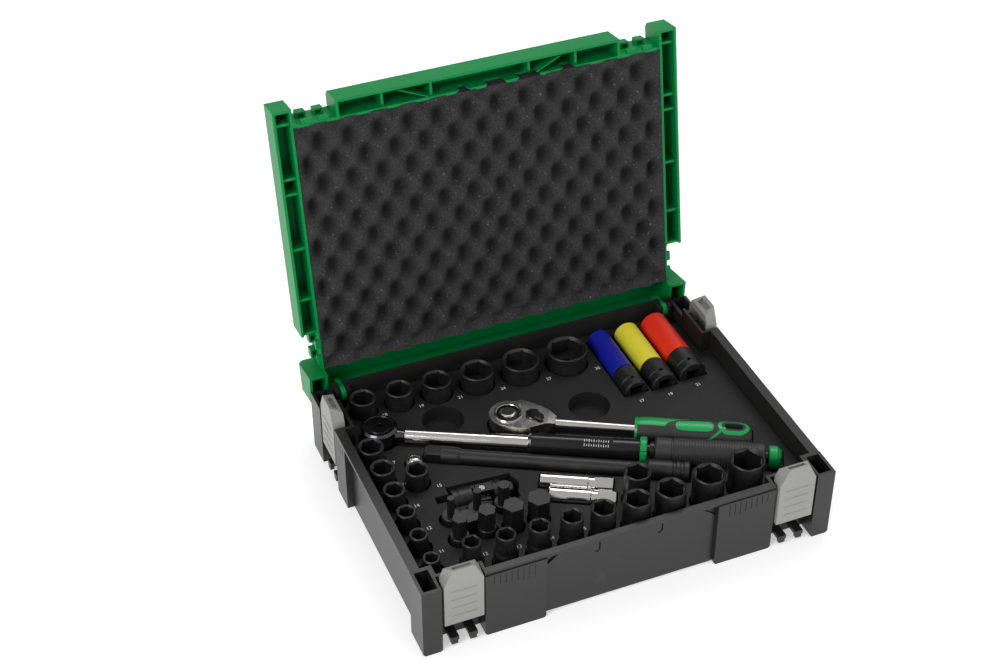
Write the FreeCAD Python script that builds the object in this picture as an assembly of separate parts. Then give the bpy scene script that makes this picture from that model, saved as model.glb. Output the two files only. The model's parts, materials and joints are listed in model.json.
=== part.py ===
import FreeCAD, Part
import math
import os

# Socket wrench set in a stackable hinged case, modelled with the lid standing open.
# Millimetres, +Z up, +X to the right, +Y to the hinge side.
# The origin is the centre of the case's footprint on the surface it stands on.

V = FreeCAD.Vector
os.makedirs("parts", exist_ok=True)

# ---------------------------------------------------------------- case sizes
caseLength = 395.0          # over the corner columns, along X
caseWidth = 295.0           # over the corner columns, along Y
baseHeight = 75.0           # top of the base rim above the ground
lidHeight = 29.7            # lid rim to the outer face of the lid
splitGap = 0.3              # between base rim and closed lid rim
openAngle = 100.0           # lid at rest, from closed
wall = 3.0                  # moulded walls
floorClear = 2.0            # underside of the floor above the feet
sideInset = 6.5             # side walls, in from the columns
frontInset = 7.0            # front wall, in from the columns
rearInset = 3.5             # rear wall, in from the columns
rimDepth = 3.5              # height of the rim flange
rimFrontInset = 3.5         # rim flange, in from the columns at the front
rimSideInset = 0.5          # rim flange, in from the columns at the sides
columnLength = 18.0         # corner columns along X
columnWidth = 29.5          # front corner columns along Y
rearColumnWidth = 27.5      # rear corner columns along Y
rearColumnTopDrop = 9.0     # rear columns stop below the hinge sweep
columnEdge = 2.2            # slanted top rear edge of the rear columns
rearWallTopDrop = 2.5       # rear wall stops below the hinge sweep
panelInset = 2.5            # raised front panels, in from the columns
panelLength = 57.0          # raised front panels along X
pillarWidth = 27.0          # raised side pillars in front of the side latches
hookWidth = 9.0             # lid hooks
hookPitch = 16.4            # from hook to hook in a recess
prongPitch = 17.2
padLength = 120.0           # flat pad under the middle of the floor
padWidth = 80.0
footEdge = 3.0              # slanted lower corners of columns and panels
grooveWidth = 0.7           # fine upright grooves at the top of the panels
grooveDepth = 0.5
groovePitch = 5.4
grooveLengths = [9.0, 10.0, 11.0, 12.0, 13.0, 14.0, 14.0, 13.0]
wedgeLength = 22.0          # shallow triangular recess under the rim beside each panel
wedgeHeight = 14.0
wedgeDepth = 1.6
clipSlotX = -30.0           # J-shaped slot in the front wall
clipSlotWidth = 1.5
prongTop = 11.0
prongWidth = 8.0
prongTabWidth = 6.0

# ---------------------------------------------------------------- hinge and latches
# a Rise is above the base rim's top, a Drop is below it
hingeY = 139.0
hingeZDrop = 13.0
hingePinRadius = 2.5
hingePinLength = 9.0
earThick = 4.5
earRadius = 7.0
earX = 171.0                # outer face of each lid ear from the middle
earRoom = 1.0               # room round each ear
bossThick = 4.0
latchWidth = 36.0
latchGap = 2.2              # beside a latch in its recess
latchBottom = 29.5
latchShoulderRise = 1.0     # upper corners start to slant, at the outer face
latchCrownRise = 18.0       # top of the outer face
latchCrownHalf = 9.5
latchBackShoulderRise = 4.0  # the same outline at the back
latchTopRise = 12.0
latchTopHalf = 14.2
latchLipBottomRise = 5.0
latchHollowTopRise = 9.0
latchHollowHalf = 10.0
latchHollowShoulderDrop = 1.0
latchCheekDepth = 9.0       # cheeks below the lip
latchScoopRise = 11.0       # floor of the scoop in the top
latchReach = 11.5           # from the latch's outer face to the tip of its lip
latchWall = 2.6
latchBarrelRadius = 3.4
latchLines = 4              # fine raised lines on the outer face
latchLinePitch = 9.5
latchPivotDepth = 8.0
latchPivotZ = 36.0
trunnionRadius = 2.0
pinFit = 0.3                # a turning pin in its hole, on the radius
recessDepth = 16.0          # latch recesses, in from the columns
sideLatchY = 98.0           # middle of each side latch
lipTopRise = 4.2            # top of the lid hooks when closed
socketRelief = 1.2          # lid's inner wall to the tall sockets
hookReach = 3.7             # lid hooks out of the recess wall
loopReach = 5.5             # open loops above the hooks, clear of the latch
loopBottomRise = 16.0
loopWall = 1.8

# ---------------------------------------------------------------- lid, foam, handle
lidWall = 2.6
lidInnerLap = 1.0           # inner lid walls, outward from the latch recesses' backs
sideRibs = [-134.5, -82.0, -67.0, -12.0, 40.0]     # cross ribs between the lid's double side walls
frontRibs = [48.0, 95.0]
gussetInner = 48.0
gussetOuter = 78.0
foamThick = 14.0
foamClear = 1.0
handleSpan = 128.0
handleArm = 34.0
handleBar = 9.0
handleRecessDepth = 10.5
handleArmWidth = 8.0
handlePinReach = 2.6        # pivot pins into the pan's walls
panRoom = 8.0               # pan in the lid, beyond the handle's ends, walls included
panAhead = 9.0              # pan behind the pivot line
handleY = -4.0              # pivot line of the handle on the closed lid
handlePinRadius = 2.2

# ---------------------------------------------------------------- tray
trayTop = 52.0
trayClear = 0.5
pocketClear = 1.5           # round pockets, on the radius
channelClear = 1.2          # channels under lying tools, each side
fingerRadius = 20.0

# ---------------------------------------------------------------- sockets
driveSquare = 12.7
squareFit = 0.2
driveDepth = 16.0
shortLength = 38.0
shortTop = 70.0
deepLength = 78.0
deepTop = 86.0
driveEndDiameter = 22.0     # least size of the square end
rowGap = 10.0
rowBackEdge = 129.5
backRowStart = -156.0
backRowSizes = [18, 19, 21, 24, 27, 30]
columnX = -172.0
columnStartY = 49.5
columnPitch = 30.7
columnSizes = [17, 16, 14, 12, 11, 10]
looseSize = 15
loosePlace = (-144.0, 5.0)
deepPlaces = {
    12: (-139.0, -114.0), 13: (-108.5, -117.0), 14: (-78.0, -118.5),
    15: (-47.5, -118.5), 17: (-18.0, -119.5), 19: (14.0, -120.5),
    21: (47.0, -120.0), 22: (86.0, -116.5), 24: (126.0, -113.0),
    18: (29.0, -89.5),
}
hexBitTop = 78.0
hexBitLength = 64.0
hexBitBody = 17.0
hexBitShaft = 20.0
hexBitPlaces = {
    12: (-135.0, -76.5), 14: (-109.0, -75.5), 17: (-85.5, -79.0), 19: (-61.0, -79.0),
    6: (-133.0, -50.0), 7: (-108.0, -50.0), 10: (-83.5, -52.0), 16: (-121.0, -63.0),
}
lowBit = 16
lowBitDrop = 14.0
hexPocketRadius = 11.0

# ---------------------------------------------------------------- lying tools
torqueStart = (-155.0, 75.5)
torqueAngle = -27.7
torqueZ = 57.0
torqueHeadRadius = 17.0
torqueHeadHeight = 22.0
chromeTubeRadius = 7.5
blackTubeRadius = 10.0
chromeTubeEnd = 141.0
blackTubeEnd = 240.5
lockRingRadius = 12.3
lockRingLength = 9.0
lockTravel = 2.6            # how far the ring pulls back
torqueGripStart = 254.5
torqueGripEnd = 355.0
torqueGripRadius = 12.5
endCapRadius = 10.8
endCapLength = 11.5

ratchetStart = (-37.5, 47.3)
ratchetAngle = -28.4
ratchetTop = 66.0
ratchetHeadHeight = 22.0
ratchetHeadRadius = 18.0
ratchetNeckStart = 45.0
ratchetGripStart = 118.0
ratchetGripEnd = 226.0
ratchetGripWidth = 27.0
ratchetGripHeight = 24.0
ratchetGripZ = 57.0
gearRadius = 11.0
gearHeight = 12.0
turnFit = 0.4
buttonTravel = 2.0
leverX = 23.0               # lever and pawl pivot, from the middle of the head
leverThrow = 36.0

extensionStart = (-124.5, 37.0)
extensionAngle = -28.63
extensionLength = 242.0
extensionZ = 54.0
extensionRadius = 7.0
extensionEndRadius = 10.0
extensionEndLength = 36.0

wheelSizes = [17, 19, 21]
wheelX = [93.2, 122.6, 153.7]
wheelFrontY = [42.0, 40.5, 43.0]
wheelDiameters = [22.5, 25.0, 27.5]
wheelLength = 88.0
wheelDriveLength = 29.0
wheelZ = 54.0
sleeveThick = 1.6
sleeveFit = 0.3

sparkStarts = [(-40.7, -34.8), (-40.6, -54.8)]
sparkLengths = [66.0, 60.0]
sparkAngle = -28.4
sparkDiameter = 16.5
sparkZ = 52.0
sparkHex = 16.0
sparkHexLength = 16.0

jointCentre = (-94.0, -26.0)
jointAngle = -4.0
jointZ = 45.0
jointRadius = 12.0
jointFork = 10.0            # middle of the cross to the face of each end
jointSocketLength = 18.0
jointSquareLength = 8.0
jointPegLength = 11.0
jointSwing = 15.0           # sideways bend that the pocket leaves room for
crossPinRadius = 3.0
jointRise = 20.0            # upward bend
earNear = 6.8
earFar = 11.0
earHalfWidth = 5.4

adapterPlace = (-137.5, 30.0)
adapterTop = 60.0
adapterLength = 36.0
adapterRadius = 8.0
adapterSquare = 9.7

# worked out from the sizes above
rearColumnTop = baseHeight - rearColumnTopDrop
rearWallTop = baseHeight - rearWallTopDrop
hingeZ = baseHeight - hingeZDrop
latchShoulder = baseHeight + latchShoulderRise
latchCrown = baseHeight + latchCrownRise
latchBackShoulder = baseHeight + latchBackShoulderRise
latchTop = baseHeight + latchTopRise
latchLipBottom = baseHeight + latchLipBottomRise
latchHollowTop = baseHeight + latchHollowTopRise
latchHollowShoulder = baseHeight - latchHollowShoulderDrop
latchScoop = baseHeight + latchScoopRise
lipTop = baseHeight + lipTopRise
loopBottom = baseHeight + loopBottomRise
lidInnerInset = recessDepth - lidInnerLap
halfX = caseLength / 2
halfY = caseWidth / 2
lidRim = baseHeight + splitGap
lidTop = lidRim + lidHeight
recessBackX = halfX - recessDepth
recessBackY = halfY - recessDepth
recessOuterX = halfX - columnLength
recessInnerX = recessOuterX - latchWidth - 2 * latchGap
frontLatchX = (recessOuterX + recessInnerX) / 2
sideRecessLow = sideLatchY - latchWidth / 2 - latchGap
sideRecessHigh = sideLatchY + latchWidth / 2 + latchGap
tubX = halfX - sideInset
tubFront = -(halfY - frontInset)
tubRear = halfY - rearInset
lidInnerX = halfX - lidInnerInset


# ---------------------------------------------------------------- helpers
def box(x0, x1, y0, y1, z0, z1):
    return Part.makeBox(x1 - x0, y1 - y0, z1 - z0, V(x0, y0, z0))


def rod(radius, start, end):
    a = V(*start)
    b = V(*end)
    return Part.makeCylinder(radius, (b - a).Length, a, b - a)


def cone(r0, r1, start, end):
    a = V(*start)
    b = V(*end)
    return Part.makeCone(r0, r1, (b - a).Length, a, b - a)


def prism(points, direction):
    wire = Part.makePolygon([V(*p) for p in points] + [V(*points[0])])
    return Part.Face(wire).extrude(V(*direction))


def hexagon(acrossFlats, z0, z1, x=0.0, y=0.0):
    r = acrossFlats / math.sqrt(3)
    corners = [(x + r * math.cos(math.radians(60 * i)),
                y + r * math.sin(math.radians(60 * i)), z0) for i in range(6)]
    return prism(corners, (0, 0, z1 - z0))


def square(side, z0, z1, x=0.0, y=0.0):
    h = side / 2
    return box(x - h, x + h, y - h, y + h, z0, z1)


def span(side, near, far):
    # the two distances from the middle, on one side of it, low value first
    return min(side * near, side * far), max(side * near, side * far)


def turned(profile):
    # profile: radius, height pairs from the axis out and back, turned about Z
    wire = Part.makePolygon([V(r, 0, z) for r, z in profile] + [V(profile[0][0], 0, profile[0][1])])
    return Part.Face(wire).revolve(V(0, 0, 0), V(0, 0, 1), 360)


def fused(shapes):
    out = shapes[0]
    if len(shapes) > 1:
        out = out.fuse(shapes[1:])
    return out.removeSplitter()


def lieAlong(shape, place, angle, z):
    # a tool made upright along +Z from its start, laid down along the given heading
    out = shape.copy()
    out.rotate(V(0, 0, 0), V(0, 1, 0), 90)
    out.rotate(V(0, 0, 0), V(0, 0, 1), angle)
    out.translate(V(place[0], place[1], z))
    return out


def turnedAlong(shape, place, angle):
    # a tool made flat with its length along +X
    out = shape.copy()
    out.rotate(V(0, 0, 0), V(0, 0, 1), angle)
    out.translate(V(place[0], place[1], 0))
    return out


def opened(shape):
    out = shape.copy()
    out.rotate(V(0, hingeY, hingeZ), V(1, 0, 0), -openAngle)
    return out


def save(node, shape):
    solids = [s for s in shape.Solids if s.Volume > 0.5]
    out = solids[0] if len(solids) == 1 else Part.makeCompound(solids)
    out.exportStep("parts/" + node + ".step")
    size = out.BoundBox
    print("%-22s solids %d  volume %9.0f  box %.1f %.1f %.1f .. %.1f %.1f %.1f  valid %s" % (
        node, len(solids), sum(s.Volume for s in solids), size.XMin, size.YMin, size.ZMin,
        size.XMax, size.YMax, size.ZMax, all(s.isValid() for s in solids)))


# ---------------------------------------------------------------- base shell
def prong(side, along, front):
    # made for the front, laid over to the side
    tabEnd = 4.0
    reach = recessDepth - 1.5
    bar = box(-prongWidth / 2, prongWidth / 2, 1.5, reach + 1.5, prongTop - 4.0, prongTop)
    tab = box(-prongTabWidth / 2, prongTabWidth / 2, 1.5, 1.5 + tabEnd, prongTop - 8.0, prongTop - 3.0)
    if not front:
        for piece in (bar, tab):
            piece.rotate(V(0, 0, 0), V(0, 0, 1), 90 * side)
            piece.translate(V(side * halfX, sideLatchY + along * prongPitch / 2, 0))
    else:
        for piece in (bar, tab):
            piece.translate(V(side * frontLatchX + along * prongPitch / 2, -halfY, 0))
    return [bar, tab]


def footCorners(x0, x1, y0, y1):
    # slanted lower corners of an upright block that faces the front
    cuts = []
    for x, way in ((x0, 1), (x1, -1)):
        cuts.append(prism([(x - way, y0 - 1, -1), (x + way * footEdge, y0 - 1, -1),
                           (x - way, y0 - 1, footEdge)], (0, y1 - y0 + 2, 0)))
    return cuts


def panelDetails():
    # fine grooves down the tops of the front panels and the side pillars, and a wedge beside each panel
    cuts = []
    top = baseHeight - rimDepth
    for side in (-1, 1):
        for i, length in enumerate(grooveLengths):
            x = side * (recessInnerX - groovePitch * (i + 1.5))
            cuts.append(box(x - grooveWidth / 2, x + grooveWidth / 2, -halfY,
                            -halfY + panelInset + grooveDepth, top - 2.0 - length, top - 2.0))
        for i in range(4):
            y = sideRecessLow - groovePitch * (i + 1)
            a, b = span(side, halfX - rimSideInset - grooveDepth, halfX + 1)
            cuts.append(box(a, b, y - grooveWidth / 2, y + grooveWidth / 2, top - 14.0, top - 2.0))
        x = side * (recessInnerX - panelLength)
        inward = -side
        steps = 6
        curve = []
        for i in range(steps + 1):
            t = i / steps
            curve.append((x + inward * wedgeLength * t, tubFront - 1, top - wedgeHeight * (1 - t) ** 1.5))
        cuts.append(prism([(x, tubFront - 1, top)] + curve, (0, 1 + wedgeDepth, 0)))
    # J-shaped slot of the divider clip
    w = clipSlotWidth
    for x in (clipSlotX, -clipSlotX):
        cuts.append(box(x - w, x, tubFront - 1, tubFront + wedgeDepth, top - 12.0, top - 2.0))
        cuts.append(prism([(x, tubFront - 1, top - 12.0), (x - w, tubFront - 1, top - 12.0),
                           (x - 2.5 * w, tubFront - 1, top - 13.5), (x - 3.5 * w, tubFront - 1, top - 12.0),
                           (x - 3.5 * w, tubFront - 1, top - 13.5), (x - 2.0 * w, tubFront - 1, top - 15.0)],
                          (0, 1 + wedgeDepth, 0)))
    return cuts


def baseShell():
    pieces = [box(-tubX, tubX, tubFront, tubRear, floorClear, baseHeight)]
    rim = box(-(halfX - rimSideInset), halfX - rimSideInset, -(halfY - rimFrontInset), tubRear,
              baseHeight - rimDepth, baseHeight)
    pieces.append(rim)
    for side in (-1, 1):
        x0, x1 = span(side, recessOuterX, halfX)
        pieces.append(box(x0, x1, -halfY, -halfY + columnWidth, 0, baseHeight))
        pieces.append(box(x0, x1, halfY - rearColumnWidth, halfY, 0, rearColumnTop))
        # raised front panel beside the latch recess, and the pillar in front of the side recess
        p0, p1 = span(side, recessInnerX - panelLength, recessInnerX)
        pieces.append(box(p0, p1, -(halfY - panelInset), tubFront + 1, 0, baseHeight - rimDepth))
        q0, q1 = span(side, tubX - 1, halfX - rimSideInset)
        pieces.append(box(q0, q1, sideRecessLow - pillarWidth, sideRecessLow, 0, baseHeight - rimDepth))
    pieces.append(box(-padLength / 2, padLength / 2, -padWidth / 2, padWidth / 2, 0, floorClear + 1))
    shell = fused(pieces)
    cuts = []
    inner = box(-(tubX - wall), tubX - wall, tubFront + wall, tubRear - wall,
                floorClear + wall, baseHeight + 1)
    keep = []
    for side in (-1, 1):
        a, b = span(side, recessInnerX - wall, halfX)
        keep.append(box(a, b, -halfY, -recessBackY + wall, 0, baseHeight + 2))
        a, b = span(side, recessOuterX - wall + 1, halfX)
        keep.append(box(a, b, -halfY, -halfY + columnWidth + 1, 0, baseHeight + 2))
        a, b = span(side, recessBackX - wall, halfX)
        keep.append(box(a, b, sideRecessLow - wall, halfY, 0, baseHeight + 2))
    cuts.append(inner.cut(keep))
    for side in (-1, 1):
        # latch recesses
        a, b = span(side, recessInnerX, recessOuterX)
        cuts.append(box(a, b, -halfY - 1, -recessBackY, -1, baseHeight + 1))
        a, b = span(side, recessBackX, halfX + 1)
        cuts.append(box(a, b, sideRecessLow, sideRecessHigh, -1, baseHeight + 1))
        # pockets in the columns
        a, b = span(side, halfX - wall, recessOuterX + 2.5)
        cuts.append(box(a, b, -halfY + wall, -halfY + columnWidth - wall, 12, baseHeight + 1))
        cuts.append(box(a, b, halfY - rearColumnWidth + wall, halfY - wall, 12, rearColumnTop + 1))
        # room above the rear columns for the lid's corners
        a, b = span(side, recessOuterX - 2.0, halfX + 1)
        cuts.append(box(a, b, sideRecessHigh - 1.5, halfY + 1, rearColumnTop, baseHeight + 1))
        cuts.append(prism([(a, halfY + 1, rearColumnTop + 1), (a, halfY - columnEdge - 1, rearColumnTop + 1),
                           (a, halfY + 1, rearColumnTop - columnEdge - 1)], (b - a, 0, 0)))
        # room for the lid's hinge ears behind the tray's corners
        e0, e1 = span(side, earX - earThick - earRoom, earX + earRoom)
        cuts.append(box(e0, e1, hingeY - earRadius - earRoom, tubRear + 1, hingeZ - earRadius - earRoom,
                        baseHeight + 1))
    # the rear wall stops under the sweep of the lid's rear edge
    cuts.append(box(-halfX - 1, halfX + 1, tubRear - wall - 1, halfY + 1, rearWallTop, baseHeight + 1))
    shell = shell.cut(cuts)
    adds = []
    holes = []
    for side in (-1, 1):
        # two coupling prongs with turned-down ends under each latch
        for along in (-1, 1):
            adds += prong(side, along, True)
            adds += prong(side, along, False)
        # bosses that carry the hinge pins, either side of each ear
        for innerSide in (-1, 1):
            x = side * (earX - earThick / 2) + innerSide * (earThick / 2 + earRoom + bossThick / 2)
            adds.append(box(x - bossThick / 2, x + bossThick / 2, hingeY - 5.5, tubRear,
                            hingeZ - 9, hingeZ + 6))
        # trunnion holes
        x = side * frontLatchX
        reach = latchWidth / 2 + latchGap + 2.2
        y = -halfY + latchPivotDepth
        holes.append(rod(trunnionRadius + pinFit, (x - reach, y, latchPivotZ), (x + reach, y, latchPivotZ)))
        xs = side * (halfX - latchPivotDepth)
        holes.append(rod(trunnionRadius + pinFit, (xs, sideLatchY - reach, latchPivotZ),
                         (xs, sideLatchY + reach, latchPivotZ)))
        xe = side * (earX - earThick / 2)
        holes.append(rod(hingePinRadius, (xe - hingePinLength / 2 - 0.5, hingeY, hingeZ),
                         (xe + hingePinLength / 2 + 0.5, hingeY, hingeZ)))
    shell = fused([shell] + adds)
    for side in (-1, 1):
        x0, x1 = span(side, recessOuterX, halfX)
        holes += footCorners(x0, x1, -halfY, -halfY + columnWidth)
        x0, x1 = span(side, recessInnerX - panelLength, recessInnerX)
        holes += footCorners(x0, x1, -halfY, tubFront)
    return shell.cut(holes + panelDetails())


# ---------------------------------------------------------------- latches
def latchOutline(y, shoulder, top, topHalf):
    half = latchWidth / 2
    points = [(-half, latchBottom), (-half, shoulder), (-topHalf, top), (topHalf, top), (half, shoulder),
              (half, latchBottom)]
    return Part.makePolygon([V(x, y, z) for x, z in points] + [V(-half, y, latchBottom)])


def frontLatch():
    # made at the middle of its recess, outer face at y = 0, inwards +Y
    half = latchWidth / 2
    low = latchBottom - 1
    block = Part.makeLoft([latchOutline(0, latchShoulder, latchCrown, latchCrownHalf),
                           latchOutline(latchReach, latchBackShoulder, latchTop, latchTopHalf)], True, True)
    inside = half - latchWall
    hollow = prism([(-inside, latchWall, low), (-inside, latchWall, latchHollowShoulder),
                    (-latchHollowHalf, latchWall, latchHollowTop),
                    (latchHollowHalf, latchWall, latchHollowTop),
                    (inside, latchWall, latchHollowShoulder), (inside, latchWall, low)],
                   (0, latchReach - 2 * latchWall, 0))
    back = box(-inside, inside, latchReach - latchWall - 0.5, latchReach + 1, low, latchLipBottom)
    behind = box(-half - 1, half + 1, latchCheekDepth, latchReach + 1, low, latchBackShoulder - 6.0)
    scoop = box(-latchCrownHalf + 1.0, latchCrownHalf - 1.0, latchWall + 0.6, latchReach - latchWall - 0.6,
                latchScoop, latchCrown)
    cover = block.cut([hollow, back, behind, scoop])
    barrel = rod(latchBarrelRadius, (-half, latchPivotDepth, latchPivotZ),
                 (half, latchPivotDepth, latchPivotZ))
    web = box(-half + 1, half - 1, latchWall / 2, latchPivotDepth, latchPivotZ - 1.2, latchPivotZ + 1.2)
    reach = half + latchGap + 1.8
    pin = rod(trunnionRadius, (-reach, latchPivotDepth, latchPivotZ), (reach, latchPivotDepth, latchPivotZ))
    lines = [box(-half + 6, half - 6, -0.35, 0.5, z, z + 0.5)
             for z in (latchBottom + latchLinePitch * (i + 1) for i in range(latchLines))]
    return fused([cover, barrel, web, pin] + lines)


def latchAt(name):
    latch = frontLatch()
    if name == "front_left":
        latch.translate(V(-frontLatchX, -halfY, 0))
    elif name == "front_right":
        latch.translate(V(frontLatchX, -halfY, 0))
    elif name == "side_left":
        latch.rotate(V(0, 0, 0), V(0, 0, 1), -90)
        latch.translate(V(-halfX, sideLatchY, 0))
    else:
        latch.rotate(V(0, 0, 0), V(0, 0, 1), 90)
        latch.translate(V(halfX, sideLatchY, 0))
    return latch


# ---------------------------------------------------------------- lid, closed, then swung open
def lidHook(side, along, front):
    # a catch for the latch's lip, and an open loop above it, standing out of the recess wall
    catch = box(-hookWidth / 2, hookWidth / 2, -hookReach, 1, lidRim + 0.5, lipTop)
    loop = box(-hookWidth / 2, hookWidth / 2, -loopReach, 1, loopBottom, lidTop - 5.0)
    gap = box(-hookWidth / 2 + loopWall, hookWidth / 2 - loopWall, -loopReach + loopWall, 0,
              loopBottom - 1, lidTop - 6.5)
    pieces = [catch, loop.cut(gap)]
    for piece in pieces:
        if front:
            piece.translate(V(side * frontLatchX + along * hookPitch / 2, -recessBackY, 0))
        else:
            piece.rotate(V(0, 0, 0), V(0, 0, 1), 90 * side)
            piece.translate(V(side * recessBackX, sideLatchY + along * hookPitch / 2, 0))
    return pieces


def lidShell():
    skin = box(-halfX, halfX, -halfY, halfY, lidRim, lidTop)
    cavity = box(-(halfX - lidWall), halfX - lidWall, -(halfY - lidWall), halfY - lidWall,
                 lidRim - 1, lidTop - wall)
    shell = skin.cut(cavity)
    walls = []
    # inner wall around the foam
    ring = box(-lidInnerX, lidInnerX, -recessBackY, halfY - rearInset, lidRim, lidTop - wall + 0.5)
    hollow = box(-(lidInnerX - lidWall), lidInnerX - lidWall, -recessBackY + lidWall,
                 halfY - rearInset - lidWall, lidRim - 1, lidTop - wall)
    walls.append(ring.cut(hollow))
    for side in (-1, 1):
        a, b = span(side, lidInnerX - 1, halfX - 1)
        # cross ribs between the double side walls
        for y in sideRibs + [sideRecessLow - lidWall]:
            walls.append(box(a, b, y, y + lidWall, lidRim + 3.0, lidTop - wall + 0.5))
        walls.append(box(a, b, sideRecessHigh, sideRecessHigh + lidWall, lidRim, lidTop - wall + 0.5))
        # cheeks of the front recess
        a, b = span(side, recessOuterX, recessOuterX + lidWall)
        walls.append(box(a, b, -halfY + 1, -recessBackY + 1, lidRim, lidTop - wall + 0.5))
        a, b = span(side, recessInnerX - lidWall, recessInnerX)
        walls.append(box(a, b, -halfY + 1, -recessBackY + 1, lidRim, lidTop - wall + 0.5))
        # ribs and slanted gussets in the front middle section
        for x in frontRibs:
            walls.append(box(side * x - 1.2, side * x + 1.2, -halfY + 1, -recessBackY + 1,
                             lidRim + 3.0, lidTop - wall + 0.5))
        gusset = prism([(side * gussetInner, -recessBackY + 1, lidRim + 1.0),
                        (side * gussetOuter, -halfY + 4, lidRim + 1.0),
                        (side * (gussetOuter + lidWall), -halfY + 4, lidRim + 1.0),
                        (side * (gussetInner + lidWall), -recessBackY + 1, lidRim + 1.0)],
                       (0, 0, lidTop - wall - lidRim))
        walls.append(gusset)
        # rear corner columns reach down over the base's lower rear columns
        a, b = span(side, recessOuterX, halfX)
        drop = [(a, sideRecessHigh, rearColumnTop + splitGap), (a, halfY, lidRim - 1.7),
                (a, halfY, lidRim + 2), (a, sideRecessHigh, lidRim + 2)]
        column = prism(drop, (b - a, 0, 0))
        walls.append(column)
    shell = fused([shell] + walls)
    cuts = []
    for side in (-1, 1):
        # latch recesses run through the whole height
        a, b = span(side, recessInnerX, recessOuterX)
        cuts.append(box(a, b, -halfY - 1, -recessBackY, lidRim - 1, lidTop + 1))
        a, b = span(side, recessBackX, halfX + 1)
        cuts.append(box(a, b, sideRecessLow, sideRecessHigh, lidRim - 1, lidTop + 1))
        # hollow of the rear corner columns
        a, b = span(side, recessOuterX + lidWall, halfX - lidWall)
        cuts.append(box(a, b, sideRecessHigh + lidWall, halfY - lidWall, rearColumnTop - 1, lidTop - wall))
    # the inner front wall is relieved round the tall sockets
    for size, (px, py) in deepPlaces.items():
        cuts.append(rod(deepDiameter(size) / 2 + socketRelief, (px, py, lidRim - 5.0),
                        (px, py, deepTop + socketRelief)))
    # slanted edges round the outer face
    edge = 4.0
    for side in (-1, 1):
        x = side * (halfX + 1)
        cuts.append(prism([(x, -halfY - 1, lidTop + 1), (x, -halfY - 1, lidTop - edge - 1),
                           (side * (halfX - edge - 1), -halfY - 1, lidTop + 1)], (0, caseWidth + 2, 0)))
        y = side * (halfY + 1)
        cuts.append(prism([(-halfX - 1, y, lidTop + 1), (-halfX - 1, y, lidTop - edge - 1),
                           (-halfX - 1, side * (halfY - edge - 1), lidTop + 1)], (caseLength + 2, 0, 0)))
    # pan for the folded handle
    shell = shell.cut(cuts)
    panX = handleSpan / 2 + panRoom
    y0 = handleY - handleArm - handleBar
    y1 = handleY + panAhead
    pan = box(-panX, panX, y0, y1, lidTop - handleRecessDepth - wall, lidTop - 0.5)
    shell = fused([shell, pan])
    shell = shell.cut(box(-panX + wall, panX - wall, y0 + wall, y1 - wall,
                          lidTop - handleRecessDepth, lidTop + 1))
    adds = []
    holes = []
    for side in (-1, 1):
        # hooks that the latches catch, two in each recess
        for along in (-1, 1):
            adds += lidHook(side, along, True)
            adds += lidHook(side, along, False)
        # hinge ears
        x0, x1 = span(side, earX - earThick, earX)
        adds.append(rod(earRadius, (x0, hingeY, hingeZ), (x1, hingeY, hingeZ)))
        adds.append(box(x0, x1, hingeY - earRadius, hingeY + 2.0, hingeZ, lidRim + 1))
        adds.append(prism([(x0, hingeY - earRadius, lidRim), (x0, tubRear - 0.5, lidRim + 0.6),
                           (x0, tubRear - 0.5, lidRim + 14), (x0, hingeY - earRadius, lidRim + 4)],
                          (earThick, 0, 0)))
        holes.append(rod(hingePinRadius + pinFit, (x0 - 1, hingeY, hingeZ), (x1 + 1, hingeY, hingeZ)))
        # handle pivot holes in the pan's ends
        h0 = side * (handleSpan / 2 + 1)
        h1 = side * (panX + 0.5)
        holes.append(rod(handlePinRadius + pinFit, (min(h0, h1), handleY, lidTop - handleRecessDepth / 2),
                         (max(h0, h1), handleY, lidTop - handleRecessDepth / 2)))
    return opened(fused([shell] + adds).cut(holes))


def lidFoam():
    top = lidTop - wall - 0.1
    x = lidInnerX - lidWall - foamClear
    slab = box(-x, x, -recessBackY + lidWall + foamClear, sideRecessHigh + 4, top - foamThick, top)
    panX = handleSpan / 2 + panRoom + foamClear
    pan = box(-panX, panX, handleY - handleArm - handleBar - foamClear, handleY + panAhead + foamClear,
              lidTop - handleRecessDepth - wall - foamClear / 2, top + 1)
    return opened(slab.cut(pan))


def carryHandle():
    z = lidTop - handleRecessDepth / 2
    half = handleSpan / 2
    thick = handleRecessDepth - 2.5
    bar = box(-half, half, handleY - handleArm - handleBar / 2, handleY - handleArm + handleBar / 2,
              z - thick / 2, z + thick / 2)
    arms = []
    for side in (-1, 1):
        a, b = span(side, half - handleArmWidth, half)
        arms.append(box(a, b, handleY - handleArm, handleY, z - thick / 2, z + thick / 2))
        arms.append(rod(thick / 2, (a, handleY, z), (b, handleY, z)))
        pinStart, pinEnd = span(side, half, half + panRoom - wall + handlePinReach)
        arms.append(rod(handlePinRadius, (pinStart, handleY, z), (pinEnd, handleY, z)))
    handle = fused([bar] + arms)
    grips = [rod(3.0, (-half + 20 + 12 * i, handleY - handleArm + handleBar / 2 + 1.6, z - thick),
                 (-half + 20 + 12 * i, handleY - handleArm + handleBar / 2 + 1.6, z + thick))
             for i in range(int((handleSpan - 28) // 12))]
    return opened(handle.cut(grips))


def hingePins():
    pins = []
    for side in (-1, 1):
        x = side * (earX - earThick / 2)
        pins.append(rod(hingePinRadius, (x - hingePinLength / 2, hingeY, hingeZ),
                        (x + hingePinLength / 2, hingeY, hingeZ)))
    return Part.makeCompound(pins)


# ---------------------------------------------------------------- sockets
def shortDiameter(size):
    return 1.22 * size + 3.2


def deepDiameter(size):
    return 1.25 * size + 1.5


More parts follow.
